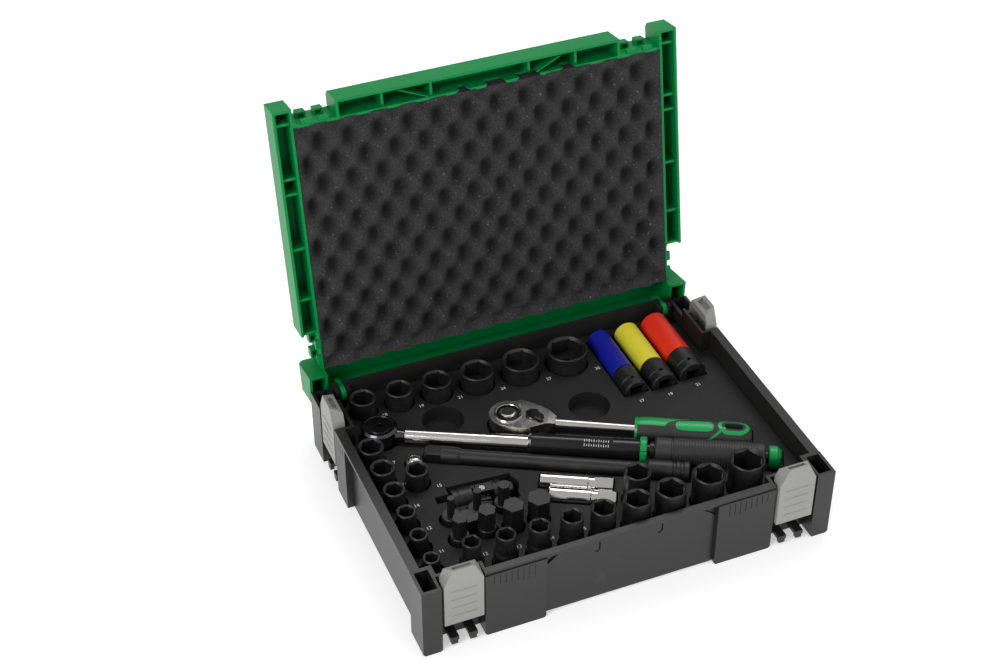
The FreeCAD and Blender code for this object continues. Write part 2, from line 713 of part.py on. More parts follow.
def impactSocket(size, outer, length):
    # upright, square end at z = 0
    edge = 0.8
    nut = outer / 2
    base = max(outer, driveEndDiameter) / 2
    nutLength = min(18.0, length * 0.45)
    profile = [(0, 0), (base - edge, 0), (base, edge)]
    if base > nut + 0.5:
        step = base - nut
        profile += [(base, length - nutLength - step - 2.0), (nut, length - nutLength)]
    profile += [(nut, length - edge), (nut - edge, length), (0, length)]
    body = turned(profile)
    hexDepth = min(size * 0.8 + 4.0, length - driveDepth - 5.0)
    cuts = [hexagon(size + 0.3, length - hexDepth, length + 1),
            square(driveSquare + squareFit, -1, driveDepth),
            rod(min(5.0, size * 0.4), (0, 0, driveDepth - 1), (0, 0, length - hexDepth + 1)),
            cone(size * 0.54, size * 0.62, (0, 0, length - size * 0.08), (0, 0, length + 0.01)),
            rod(1.6, (base + 1, 0, driveDepth / 2), (0, 0, driveDepth / 2))]
    return body.cut(cuts)


def hexBit(size, top):
    # upright bit: square end down, hexagon end up, with a ring groove under the hexagon
    body = hexBitBody / 2
    bottom = hexBitTop - hexBitLength
    ring = top - hexBitShaft
    edge = 0.6
    stem = turned([(0, bottom), (body - edge, bottom), (body, bottom + edge), (body, ring - edge),
                   (body - edge, ring), (0, ring)])
    tip = hexagon(size, ring - 1, top)
    limit = turned([(0, ring - 1), (size, ring - 1), (size, top - size * 0.14),
                    (size * 0.54, top), (0, top)])
    bit = stem.fuse(tip.common(limit)).removeSplitter()
    return bit.cut(square(driveSquare + squareFit - 1.5, bottom - 1, bottom + driveDepth))


def wheelSocket(index):
    # lies along Y, square end to the front
    size = wheelSizes[index]
    outer = wheelDiameters[index] / 2
    inner = outer - sleeveThick - sleeveFit
    edge = 1.2
    collar = outer + 0.6
    profile = [(0, 0), (collar - edge, 0), (collar, edge), (collar, 7.0), (collar - 1.0, 8.0),
               (collar - 1.0, 10.0), (collar, 11.0), (collar, wheelDriveLength - 2.0),
               (inner, wheelDriveLength), (inner, wheelLength), (0, wheelLength)]
    body = turned(profile)
    cuts = [hexagon(size, wheelLength - 28.0, wheelLength + 1),
            square(driveSquare + squareFit, -1, driveDepth + 4),
            rod(size * 0.42, (0, 0, driveDepth), (0, 0, wheelLength - 20.0)),
            rod(2.0, (0, -outer - 2, driveDepth / 2 + 1), (0, outer + 2, driveDepth / 2 + 1))]
    body = body.cut(cuts)
    body.rotate(V(0, 0, 0), V(1, 0, 0), -90)
    body.translate(V(wheelX[index], wheelFrontY[index], wheelZ))
    return body


def wheelSleeve(index):
    outer = wheelDiameters[index] / 2
    inner = outer - sleeveThick
    start = wheelDriveLength + 0.4
    end = wheelLength - 0.6
    sleeve = turned([(inner, start), (outer, start), (outer, end - 0.6), (outer - 0.6, end), (inner, end)])
    sleeve.rotate(V(0, 0, 0), V(1, 0, 0), -90)
    sleeve.translate(V(wheelX[index], wheelFrontY[index], wheelZ))
    return sleeve


def sparkSocket(index):
    # lies down, plug end first, knurled collar and hexagon at the drive end
    length = sparkLengths[index]
    r = sparkDiameter / 2
    hexStart = length - sparkHexLength
    tube = turned([(0, 0), (r - 0.8, 0), (r, 0.8), (r, hexStart - 7), (r - 0.7, hexStart - 6),
                   (r - 0.7, hexStart), (0, hexStart)])
    hexEnd = hexagon(sparkHex, hexStart - 0.5, length)
    trim = turned([(0, hexStart - 1), (sparkHex, hexStart - 1), (sparkHex, length - 1.5),
                   (sparkHex * 0.52, length), (0, length)])
    body = fused([tube, hexEnd.common(trim)])
    cuts = [hexagon(sparkHex - 3.0, -1, hexStart - 12), square(9.7, length - 11, length + 1)]
    return lieAlong(body.cut(cuts), sparkStarts[index], sparkAngle, sparkZ)


# ---------------------------------------------------------------- ratchet, made flat along +X
def ratchetOutline(grow):
    r = ratchetHeadRadius + grow
    widest = 20.0 + grow
    nose = []
    for i in range(9):
        a = math.radians(100 + 20 * i)
        nose.append((r * math.cos(a), r * math.sin(a)))
    upper = [(14.0, -widest), (24.0, -16.5 - grow), (ratchetNeckStart, -5.5 - grow)]
    lower = [(ratchetNeckStart, 5.5 + grow), (24.0, 16.5 + grow), (14.0, widest)]
    return nose + upper + lower


def ratchetBody():
    z0 = ratchetTop - ratchetHeadHeight
    outline = [(x, y, z0) for x, y in ratchetOutline(0)]
    head = prism(outline, (0, 0, ratchetHeadHeight))
    bevel = turned([(0, z0), (30, z0), (60, z0 + 12), (60, ratchetTop - 12), (38, ratchetTop),
                    (0, ratchetTop)])
    head = head.common(bevel)
    neckZ = ratchetGripZ
    neck = cone(5.6, 4.4, (ratchetNeckStart - 8, 0, neckZ), (ratchetGripStart + 2, 0, neckZ))
    tang = rod(4.4, (ratchetGripStart, 0, neckZ), (ratchetGripEnd - 30, 0, neckZ))
    body = fused([head, neck, tang])
    gearBottom = z0 + 2.0
    cuts = [rod(gearRadius + turnFit, (0, 0, gearBottom), (0, 0, gearBottom + gearHeight + 1.0)),
            rod(9.4, (0, 0, z0 - 1), (0, 0, gearBottom + 1)),
            rod(7.6, (0, 0, gearBottom + gearHeight), (0, 0, ratchetTop + 1)),
            # pawl chamber and the lever's stem hole
            box(gearRadius - 2.0, 29.0, -7.5, 7.5, gearBottom + 1.0, gearBottom + gearHeight),
            rod(3.4, (23.0, 0, gearBottom + gearHeight - 1), (23.0, 0, ratchetTop + 1)),
            # screw holes
            rod(2.6, (10.5, 16.0, ratchetTop - 8), (10.5, 16.0, ratchetTop + 1)),
            rod(2.6, (10.5, -16.0, ratchetTop - 8), (10.5, -16.0, ratchetTop + 1))]
    body = body.cut(cuts)
    return turnedAlong(body, ratchetStart, ratchetAngle)


def driveWithGear(topZ, radius, height, squareLength, stemRadius):
    # toothed wheel with a square below it
    teeth = 36
    points = []
    for i in range(teeth * 2):
        a = math.pi * i / teeth
        r = radius if i % 2 else radius - 0.9
        points.append((r * math.cos(a), r * math.sin(a), topZ - height))
    wheel = prism(points, (0, 0, height))
    neck = rod(stemRadius, (0, 0, topZ - height - 3.0), (0, 0, topZ - height + 0.5))
    s = driveSquare / 2
    peg = box(-s, s, -s, s, topZ - height - 3.0 - squareLength, topZ - height - 2.5)
    tip = turned([(0, topZ - height - 3.0 - squareLength), (s * 1.1, topZ - height - 3.0 - squareLength),
                  (s * 1.36, topZ - height - squareLength), (s * 1.36, topZ), (0, topZ)])
    ball = Part.makeSphere(2.0, V(0, s - 1.1, topZ - height - squareLength / 2 - 3.0))
    return fused([wheel, neck, peg.common(tip), ball])


def ratchetDrive():
    gearBottom = ratchetTop - ratchetHeadHeight + 2.0
    drive = driveWithGear(gearBottom + gearHeight + 0.5, gearRadius, gearHeight - 0.4, 14.0, 9.0)
    bore = rod(4.0, (0, 0, gearBottom), (0, 0, ratchetTop))
    return turnedAlong(drive.cut(bore), ratchetStart, ratchetAngle)


def ratchetPawl():
    gearBottom = ratchetTop - ratchetHeadHeight + 2.0
    z0 = gearBottom + 2.0
    z1 = gearBottom + gearHeight - 3.2
    tooth = prism([(12.0, -2.6, z0), (26.5, -5.0, z0), (27.5, 0, z0), (26.5, 5.0, z0), (12.0, 2.6, z0)],
                  (0, 0, z1 - z0))
    tooth.rotate(V(leverX, 0, 0), V(0, 0, 1), -leverThrow / 2)
    return turnedAlong(tooth, ratchetStart, ratchetAngle)


def ratchetLever():
    gearBottom = ratchetTop - ratchetHeadHeight + 2.0
    stem = rod(3.0, (23.0, 0, gearBottom + gearHeight - 2.6), (23.0, 0, ratchetTop + 1.0))
    disc = rod(6.6, (23.0, 0, ratchetTop + 0.3), (23.0, 0, ratchetTop + 2.2))
    outline = [(19.5, 3.0), (27.0, 4.2), (34.5, -6.5), (31.5, -9.0), (20.5, -3.0)]
    thumb = prism([(x, y, ratchetTop + 1.5) for x, y in outline], (0, 0, 2.6))
    knob = rod(2.6, (31.0, -5.2, ratchetTop + 3.0), (31.0, -5.2, ratchetTop + 5.0))
    return turnedAlong(fused([stem, disc, thumb, knob]), ratchetStart, ratchetAngle)


def ratchetButton():
    gearBottom = ratchetTop - ratchetHeadHeight + 2.0
    under = gearBottom + gearHeight + 0.5 + buttonTravel + 0.4
    button = turned([(0, gearBottom + 4.0), (3.6, gearBottom + 4.0), (3.6, under), (7.0, under),
                     (7.0, ratchetTop + 1.6), (6.0, ratchetTop + 2.4), (0, ratchetTop + 2.4)])
    return turnedAlong(button, ratchetStart, ratchetAngle)


def ratchetScrews():
    screws = []
    for side in (-1, 1):
        y = side * 16.0
        shank = rod(2.2, (10.5, y, ratchetTop - 7), (10.5, y, ratchetTop + 0.4))
        head = rod(3.4, (10.5, y, ratchetTop + 0.1), (10.5, y, ratchetTop + 1.2))
        slot = hexagon(2.5, ratchetTop, ratchetTop + 2, 10.5, y)
        screws.append(shank.fuse(head).removeSplitter().cut(slot))
    return turnedAlong(Part.makeCompound(screws), ratchetStart, ratchetAngle)


def gripStation(x, width, height, z):
    a = width / 2
    b = height / 2
    centre = V(x, 0, z)
    if a >= b:
        curve = Part.Ellipse(centre + V(0, a, 0), centre + V(0, 0, b), centre)
    else:
        curve = Part.Ellipse(centre + V(0, 0, b), centre + V(0, a, 0), centre)
    return Part.Wire(curve.toShape())


def ratchetGrip():
    length = ratchetGripEnd - ratchetGripStart
    stations = [(0.0, 0.78, 0.82), (0.05, 0.86, 0.92), (0.3, 0.9, 0.94), (0.62, 1.0, 1.0),
                (0.86, 0.98, 0.96), (0.97, 0.86, 0.8), (1.0, 0.7, 0.62)]
    wires = [gripStation(ratchetGripStart + length * t, ratchetGripWidth * w, ratchetGripHeight * h,
                         ratchetGripZ) for t, w, h in stations]
    grip = Part.makeLoft(wires, True, False)
    bore = rod(4.4 + 0.05, (ratchetGripStart - 1, 0, ratchetGripZ), (ratchetGripEnd - 29.9, 0, ratchetGripZ))
    # hanging slot near the end
    x0 = ratchetGripEnd - 22.0
    slot = fused([box(x0, x0 + 10, -3.4, 3.4, ratchetGripZ - 20, ratchetGripZ + 20),
                  rod(3.4, (x0, 0, ratchetGripZ - 20), (x0, 0, ratchetGripZ + 20)),
                  rod(3.4, (x0 + 10, 0, ratchetGripZ - 20), (x0 + 10, 0, ratchetGripZ + 20))])
    return turnedAlong(grip.cut([bore, slot]), ratchetStart, ratchetAngle)


# ---------------------------------------------------------------- torque wrench, made flat along +X
def torqueHead():
    z0 = torqueZ - torqueHeadHeight / 2
    z1 = torqueZ + torqueHeadHeight / 2
    edge = 2.0
    r = torqueHeadRadius
    head = turned([(0, z0), (r - edge, z0), (r, z0 + edge), (r, z1 - edge), (r - edge, z1), (0, z1)])
    neck = cone(7.5, 5.5, (r - 5.0, 0, torqueZ), (24.0, 0, torqueZ))
    tongue = rod(5.5, (23.0, 0, torqueZ), (60.0, 0, torqueZ))
    body = fused([head, neck, tongue])
    cuts = [rod(gearRadius + turnFit, (0, 0, z0 + 3.0), (0, 0, z0 + 3.0 + gearHeight + 1.0)),
            rod(9.4, (0, 0, z0 - 1), (0, 0, z0 + 4)),
            rod(3.0, (0, 0, z0 + gearHeight), (0, 0, z1 + 1))]
    ring = rod(r - 3.5, (0, 0, z1 - 0.8), (0, 0, z1 + 1)).cut(rod(r - 6.5, (0, 0, z1 - 1), (0, 0, z1 + 2)))
    return turnedAlong(body.cut(cuts + [ring]), torqueStart, torqueAngle)


def torqueDrive():
    z0 = torqueZ - torqueHeadHeight / 2
    drive = driveWithGear(z0 + 3.0 + gearHeight + 0.5, gearRadius, gearHeight - 0.4, 14.0, 9.0)
    return turnedAlong(drive, torqueStart, torqueAngle)


def torqueTube():
    start = 24.5
    chrome = rod(chromeTubeRadius, (start, 0, torqueZ), (chromeTubeEnd + 1, 0, torqueZ))
    collar = cone(chromeTubeRadius, blackTubeRadius, (chromeTubeEnd - 3, 0, torqueZ),
                  (chromeTubeEnd, 0, torqueZ))
    black = rod(blackTubeRadius, (chromeTubeEnd, 0, torqueZ), (blackTubeEnd, 0, torqueZ))
    spindle = rod(6.0, (blackTubeEnd - 1, 0, torqueZ), (torqueGripEnd + 2.5, 0, torqueZ))
    collarRing = rod(8.2, (blackTubeEnd + lockRingLength + 0.6, 0, torqueZ),
                     (torqueGripStart - 0.6, 0, torqueZ))
    tube = fused([chrome, collar, black, spindle, collarRing])
    bore = rod(5.5 + 0.05, (start - 1, 0, torqueZ), (60.1, 0, torqueZ))
    window = box(196.0, 216.0, -4.0, 4.0, torqueZ + blackTubeRadius - 1.0, torqueZ + blackTubeRadius + 1)
    return turnedAlong(tube.cut([bore, window]), torqueStart, torqueAngle)


def ringAlong(outer, inner, x0, x1, edge):
    ring = turned([(inner, x0), (outer - edge, x0), (outer, x0 + edge), (outer, x1 - edge),
                   (outer - edge, x1), (inner, x1)])
    ring.rotate(V(0, 0, 0), V(0, 1, 0), 90)
    ring.translate(V(0, 0, torqueZ))
    return ring


def torqueLockRing():
    x0 = blackTubeEnd + 0.4
    ring = ringAlong(lockRingRadius, 6.0 + pinFit, x0, x0 + lockRingLength - lockTravel, 1.0)
    flutes = []
    for i in range(6):
        a = math.radians(30 + 60 * i)
        y = lockRingRadius * math.cos(a)
        z = torqueZ + lockRingRadius * math.sin(a)
        flutes.append(rod(1.4, (x0 - 1, y, z), (x0 + lockRingLength, y, z)))
    return turnedAlong(ring.cut(flutes), torqueStart, torqueAngle)


def torqueGrip():
    grip = ringAlong(torqueGripRadius, 6.0 + pinFit, torqueGripStart, torqueGripEnd, 1.5)
    grooveAt = torqueGripStart + 15
    groove = ringAlong(torqueGripRadius + 1, torqueGripRadius - 0.8, grooveAt, grooveAt + 2, 0.2)
    return turnedAlong(grip.cut(groove), torqueStart, torqueAngle)


def torqueEndCap():
    x0 = torqueGripEnd + 3.0
    x1 = x0 + endCapLength
    r = endCapRadius
    cap = turned([(0, x0), (r - 1, x0), (r, x0 + 1), (r, x1 - 4), (r - 3.5, x1), (0, x1)])
    cap.rotate(V(0, 0, 0), V(0, 1, 0), 90)
    cap.translate(V(0, 0, torqueZ))
    return turnedAlong(cap, torqueStart, torqueAngle)


# ---------------------------------------------------------------- extension bar, universal joint, adapter
def extensionBar():
    length = extensionLength
    s = driveSquare / 2
    peg = square(driveSquare, 0, 16.0)
    trim = turned([(0, 0), (s * 1.05, 0), (s * 1.36, 3.0), (s * 1.36, 16.0), (0, 16.0)])
    start = length - extensionEndLength
    r = extensionRadius
    e = extensionEndRadius
    bar = turned([(0, 15.5), (r + 1.6, 15.5), (r + 1.6, 30.0), (r, 34.0), (r, start - 6.0), (e, start),
                  (e, length - 16.0), (e - 0.8, length - 15.0), (e - 0.8, length - 13.0), (e, length - 12.0),
                  (e, length - 9.0), (e - 0.8, length - 8.0), (e - 0.8, length - 6.0), (e, length - 5.0),
                  (e, length - 1.0), (e - 1.0, length), (0, length)])
    bar = fused([bar, peg.common(trim)])
    bar = bar.cut([square(driveSquare + squareFit, length - driveDepth, length + 1)])
    return lieAlong(bar, extensionStart, extensionAngle, extensionZ)


def forkEars(x0, x1, sideways):
    # two ears from x0 to x1 on a joint end, either side along Y, or above and below
    ears = []
    for side in (-1, 1):
        near, far = span(side, earNear, earFar)
        if sideways:
            ears.append(box(x0, x1, near, far, -earHalfWidth, earHalfWidth))
        else:
            ears.append(box(x0, x1, -earHalfWidth, earHalfWidth, near, far))
    return ears


def jointPlaced(shape):
    out = shape.copy()
    out.rotate(V(0, 0, 0), V(0, 0, 1), jointAngle)
    out.translate(V(jointCentre[0], jointCentre[1], jointZ))
    return out


def ringGroove(radius, x):
    return rod(radius + 1, (x, 0, 0), (x + 2, 0, 0)).cut(rod(radius - 0.8, (x - 1, 0, 0), (x + 3, 0, 0)))


def jointSocketEnd():
    r = jointRadius
    length = jointFork + jointSocketLength
    body = rod(r, (-length, 0, 0), (-jointFork, 0, 0))
    ears = [e.common(rod(r, (-20, 0, 0), (20, 0, 0))) for e in forkEars(-jointFork - 0.5, 5.5, True)]
    hole = rod(crossPinRadius + pinFit, (0, -r - 1, 0), (0, r + 1, 0))
    h = (driveSquare + squareFit) / 2
    socketHole = box(-length - 1, -length + driveDepth - 3.0, -h, h, -h, h)
    return fused([body] + ears).cut([hole, socketHole, ringGroove(r, -length + 4.0)])


def jointSquareEnd():
    r = jointRadius
    length = jointFork + jointSquareLength
    body = rod(r, (jointFork, 0, 0), (length, 0, 0))
    ears = [e.common(rod(r, (-20, 0, 0), (20, 0, 0))) for e in forkEars(-5.5, jointFork + 0.5, False)]
    hole = rod(crossPinRadius + pinFit, (0, 0, -r - 1), (0, 0, r + 1))
    s = driveSquare / 2
    peg = box(length - 1, length + jointPegLength, -s, s, -s, s)
    trim = turned([(0, 0), (s * 1.36, 0), (s * 1.36, length + jointPegLength - 3.0),
                   (s * 1.05, length + jointPegLength), (0, length + jointPegLength)])
    trim.rotate(V(0, 0, 0), V(0, 1, 0), 90)
    end = fused([body] + ears).cut([hole, ringGroove(r, jointFork + 2.0)])
    return fused([end, peg.common(trim)])


def jointCross():
    block = box(-5.2, 5.2, -5.2, 5.2, -5.2, 5.2)
    reach = earFar - 0.4
    pins = [rod(crossPinRadius, (0, -reach, 0), (0, reach, 0)),
            rod(crossPinRadius, (0, 0, -reach), (0, 0, reach))]
    return fused([block] + pins)


def driveAdapter():
    # upright, square hole below, domed cap above
    x, y = adapterPlace
    bottom = adapterTop - adapterLength
    r = adapterRadius
    dome = 5.2
    top = [(0, bottom), (r - 0.6, bottom), (r, bottom + 0.6), (r, adapterTop - 4.0),
           (r - 1.2, adapterTop - 2.8), (dome + 0.8, adapterTop - 2.8), (dome, adapterTop - 2.0),
           (dome * 0.75, adapterTop - 0.7),
           (dome * 0.4, adapterTop - 0.1), (0, adapterTop)]
    body = turned(top)
    body.translate(V(x, y, 0))
    return body.cut(square(adapterSquare, bottom - 1, bottom + 14.0, x, y))


# ---------------------------------------------------------------- where the upright sockets stand
def backRow():
    places = {}
    x = backRowStart
    last = None
    for size in backRowSizes:
        r = shortDiameter(size) / 2
        if last is not None:
            x += last + r + rowGap
        places[size] = (x, rowBackEdge - r)
        last = r
    return places


def shortPlaces():
    places = backRow()
    for i, size in enumerate(columnSizes):
        places[size] = (columnX, columnStartY - columnPitch * i)
    places[looseSize] = loosePlace
    return places


# ---------------------------------------------------------------- tray
def channel(place, angle, x0, x1, width, z0):
    return turnedAlong(box(x0, x1, -width / 2, width / 2, z0, trayTop + 5), place, angle)


def toolTray():
    c = trayClear
    x = tubX - wall - c
    slab = box(-x, x, tubFront + wall + c, tubRear - wall - c, floorClear + wall + c, trayTop)
    cuts = []
    for side in (-1, 1):
        a, b = span(side, recessInnerX - wall - c, halfX)
        cuts.append(box(a, b, -halfY, -recessBackY + wall + c, 0, trayTop + 1))
        a, b = span(side, recessOuterX - wall + 1 - c, halfX)
        cuts.append(box(a, b, -halfY, -halfY + columnWidth + 1 + c, 0, trayTop + 1))
        a, b = span(side, recessBackX - wall - c, halfX)
        cuts.append(box(a, b, sideRecessLow - wall - c, halfY, 0, trayTop + 1))
        # slanted rear corners, clear of the hinges
        corner = [(side * (earX - earThick - 9.0), halfY, 0), (side * halfX, halfY, 0),
                  (side * halfX, hingeY - 14.0, 0), (side * (earX + 1.5), hingeY - 14.0, 0)]
        cuts.append(prism(corner, (0, 0, trayTop + 1)))
    tray = slab.cut(cuts)
    pockets = []
    for size, (px, py) in shortPlaces().items():
        r = max(shortDiameter(size), driveEndDiameter) / 2 + pocketClear
        pockets.append(rod(r, (px, py, shortTop - shortLength - 0.5), (px, py, trayTop + 1)))
    for size, (px, py) in deepPlaces.items():
        r = max(deepDiameter(size), driveEndDiameter) / 2 + pocketClear
        pockets.append(rod(r, (px, py, deepTop - deepLength - 0.5), (px, py, trayTop + 1)))
    for size, (px, py) in hexBitPlaces.items():
        pockets.append(rod(hexPocketRadius, (px, py, hexBitTop - hexBitLength - 0.5), (px, py, trayTop + 1)))
    # torque wrench
    k = channelClear
    torqueFloor = torqueZ - torqueHeadHeight / 2 - 0.5
    tx, ty = torqueStart
    pockets.append(rod(torqueHeadRadius + 2.0, (tx, ty, torqueFloor), (tx, ty, trayTop + 1)))
    pockets.append(rod(11.0, (tx, ty, torqueFloor - 20.0), (tx, ty, trayTop + 1)))
    pockets.append(channel(torqueStart, torqueAngle, 0, chromeTubeEnd, 2 * (chromeTubeRadius + k),
                           torqueZ - chromeTubeRadius - 0.5))
    pockets.append(channel(torqueStart, torqueAngle, chromeTubeEnd - 4, blackTubeEnd,
                           2 * (blackTubeRadius + k), torqueZ - blackTubeRadius - 0.5))
    pockets.append(channel(torqueStart, torqueAngle, blackTubeEnd - 2, torqueGripEnd + endCapLength + 6,
                           2 * (torqueGripRadius + k), torqueZ - torqueGripRadius - 0.5))
    # extension bar
    pockets.append(channel(extensionStart, extensionAngle, -2, extensionLength - extensionEndLength - 6,
                           2 * (extensionRadius + 1.6 + k), extensionZ - extensionRadius - 2.1))
    pockets.append(channel(extensionStart, extensionAngle, extensionLength - extensionEndLength - 7,
                           extensionLength + 2, 2 * (extensionEndRadius + k),
                           extensionZ - extensionEndRadius - 0.5))
    # finger slots between the two channels
    for x0 in (54.0, 150.0):
        slot = box(x0, x0 + 19.0, -23.0, -6.0, 38.0, trayTop + 1)
        pockets.append(turnedAlong(slot, torqueStart, torqueAngle))
    # ratchet: head, drive, neck and grip
    rx, ry = ratchetStart
    headFloor = ratchetTop - ratchetHeadHeight - 0.5
    head = prism([(px, py, headFloor) for px, py in ratchetOutline(2.0)], (0, 0, 40))
    pockets.append(turnedAlong(head, ratchetStart, ratchetAngle))
    pockets.append(rod(11.0, (rx, ry, headFloor - 18.0), (rx, ry, trayTop + 1)))
    pockets.append(channel(ratchetStart, ratchetAngle, ratchetNeckStart - 6, ratchetGripStart + 1,
                           24.0, 40.0))
    pockets.append(channel(ratchetStart, ratchetAngle, ratchetGripStart, ratchetGripEnd + 2,
                           ratchetGripWidth + 2 * k, ratchetGripZ - ratchetGripHeight / 2 - 0.5))
    # finger scoops
    for px, py in ((-91.0, 77.0), (44.0, 43.0)):
        pockets.append(rod(fingerRadius, (px, py, 38.0), (px, py, trayTop + 1)))
    # wheel nut sockets
    for i in range(len(wheelSizes)):
        half = wheelDiameters[i] / 2 + 0.6 + k
        pockets.append(box(wheelX[i] - half, wheelX[i] + half, wheelFrontY[i] - 1.5,
                           wheelFrontY[i] + wheelLength + 1.5, wheelZ - wheelDiameters[i] / 2 - 1.2,
                           trayTop + 1))
    # spark plug sockets
    for i in range(len(sparkStarts)):
        pockets.append(channel(sparkStarts[i], sparkAngle, -1.5, sparkLengths[i] + 1.5,
                               sparkHex / math.cos(math.radians(30)) + 1.0, sparkZ - sparkHex * 0.58 - 0.5))
    # universal joint, with room to bend towards the front and a slot to lift it by
    back = -(jointFork + jointSocketLength + 2.0)
    ahead = jointFork + jointSquareLength + jointPegLength + 2.0
    half = jointRadius + 2.0
    deep = jointZ - jointRadius - 0.5
    reach = half + ahead * math.sin(math.radians(jointSwing))
    bed = fused([box(back, ahead, -half, half, deep, trayTop + 5),
                 rod(half, (ahead - half + 4, 0, deep), (ahead - half + 4, 0, trayTop + 5)),
                 prism([(0, -half, deep), (ahead, -half, deep), (ahead, -half - 4, deep),
                        (ahead - 8, -reach, deep),
                        (ahead * 0.45, -reach + 1, deep)], (0, 0, trayTop + 5 - deep)),
                 box(back - 13, back + 1, -4.5, 4.5, 40.0, trayTop + 5)])
    pockets.append(turnedAlong(bed, jointCentre, jointAngle))
    # adapter
    ax, ay = adapterPlace
    pockets.append(rod(adapterRadius + pocketClear, (ax, ay, adapterTop - adapterLength - 0.5),
                       (ax, ay, trayTop + 1)))
    for pocket in pockets:
        tray = tray.cut(pocket)
    return tray


# ---------------------------------------------------------------- write every node
save("base_shell", baseShell())
save("tool_tray", toolTray())
save("lid_shell", lidShell())
save("lid_foam", lidFoam())
save("carry_handle", carryHandle())
save("hinge_pins", hingePins())
for latchName in ("front_left", "front_right", "side_left", "side_right"):
    save("latch_" + latchName, latchAt(latchName))
save("ratchet_body", ratchetBody())
save("ratchet_drive", ratchetDrive())
save("ratchet_pawl", ratchetPawl())
save("ratchet_lever", ratchetLever())
save("ratchet_button", ratchetButton())
save("ratchet_screws", ratchetScrews())
save("ratchet_grip", ratchetGrip())
save("torque_head", torqueHead())
save("torque_drive", torqueDrive())
save("torque_tube", torqueTube())
save("torque_lock_ring", torqueLockRing())
save("torque_grip", torqueGrip())
save("torque_end_cap", torqueEndCap())
save("joint_socket_end", jointPlaced(jointSocketEnd()))
save("joint_cross", jointPlaced(jointCross()))
save("joint_square_end", jointPlaced(jointSquareEnd()))
save("extension_bar", extensionBar())
save("drive_adapter", driveAdapter())
for i, wheelSize in enumerate(wheelSizes):
    save("wheel_socket_%d" % wheelSize, wheelSocket(i))
    save("wheel_sleeve_%d" % wheelSize, wheelSleeve(i))
save("spark_socket_upper", sparkSocket(0))
save("spark_socket_lower", sparkSocket(1))
for shortSize, place in shortPlaces().items():
    shortSocket = impactSocket(shortSize, shortDiameter(shortSize), shortLength)
    shortSocket.translate(V(place[0], place[1], shortTop - shortLength))
    save("short_socket_%d" % shortSize, shortSocket)
for deepSize, place in deepPlaces.items():
    deepSocket = impactSocket(deepSize, deepDiameter(deepSize), deepLength)
    deepSocket.translate(V(place[0], place[1], deepTop - deepLength))
    save("deep_socket_%d" % deepSize, deepSocket)
bits = []
for bitSize, place in hexBitPlaces.items():
    bit = hexBit(bitSize, hexBitTop - (lowBitDrop if bitSize == lowBit else 0.0))
    bit.translate(V(place[0], place[1], 0))
    bits.append(bit)
save("hex_bit_sockets", Part.makeCompound(bits))
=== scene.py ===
import json
import math

import bmesh
import bpy
from mathutils import Matrix, Vector
from mathutils.bvhtree import BVHTree


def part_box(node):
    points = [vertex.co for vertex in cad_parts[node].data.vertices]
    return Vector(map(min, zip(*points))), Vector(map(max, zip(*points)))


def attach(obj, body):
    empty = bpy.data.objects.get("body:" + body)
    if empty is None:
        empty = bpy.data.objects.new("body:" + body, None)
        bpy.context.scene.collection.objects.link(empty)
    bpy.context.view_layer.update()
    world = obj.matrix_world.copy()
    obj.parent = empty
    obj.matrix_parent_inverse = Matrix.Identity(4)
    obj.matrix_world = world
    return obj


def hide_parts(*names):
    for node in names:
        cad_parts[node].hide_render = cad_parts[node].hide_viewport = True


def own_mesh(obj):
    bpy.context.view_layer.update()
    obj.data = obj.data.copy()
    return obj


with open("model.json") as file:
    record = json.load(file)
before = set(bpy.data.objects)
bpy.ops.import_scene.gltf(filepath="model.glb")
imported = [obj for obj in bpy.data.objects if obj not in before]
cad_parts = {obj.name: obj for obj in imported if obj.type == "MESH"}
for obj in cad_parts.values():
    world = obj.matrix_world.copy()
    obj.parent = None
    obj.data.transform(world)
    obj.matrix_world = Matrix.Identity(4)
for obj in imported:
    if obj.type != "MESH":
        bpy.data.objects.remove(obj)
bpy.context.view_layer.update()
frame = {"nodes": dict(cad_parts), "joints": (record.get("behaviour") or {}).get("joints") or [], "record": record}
nodes = frame["nodes"]
bodyOf = {node: body for body, members in frame["record"]["behaviour"]["bodies"].items() for node in members}
slotOf = {part["node"]: part["material_slot"] for part in frame["record"]["subparts"]}
mm = 0.001
print("frame loaded:", len(nodes), "nodes")


# ---- shader and geometry trees written as expressions

class Value:
    def __init__(self, tree, socket):
        self.tree = tree
        self.socket = socket

    def join(self, operation, first, second=0.0, third=0.0):
        return self.tree.math(operation, first, second, third)

    def __add__(self, other):
        return self.join("ADD", self, other)

    __radd__ = __add__

    def __sub__(self, other):
        return self.join("SUBTRACT", self, other)

    def __rsub__(self, other):
        return self.join("SUBTRACT", other, self)

    def __mul__(self, other):
        return self.join("MULTIPLY", self, other)

    __rmul__ = __mul__

    def __truediv__(self, other):
        return self.join("DIVIDE", self, other)

    def __rtruediv__(self, other):
        return self.join("DIVIDE", other, self)

    def __pow__(self, other):
        return self.join("POWER", self, other)

    def __abs__(self):
        return self.join("ABSOLUTE", self)

    def cosine(self):
        return self.join("COSINE", self)

    def smaller(self, other):
        return self.join("MINIMUM", self, other)

    def above(self, limit):
        return self.join("GREATER_THAN", self, limit)

    def between(self, low, high):
        # 0 below low, 1 above high, straight in between
        return self.tree.node("ShaderNodeMapRange", {"clamp": True}, {0: self, 1: low, 2: high, 3: 0.0, 4: 1.0})[0]


class Outputs:
    def __init__(self, tree, made):
        self.tree = tree
        self.made = made

    def __getitem__(self, key):
        return Value(self.tree, self.made.outputs[key])


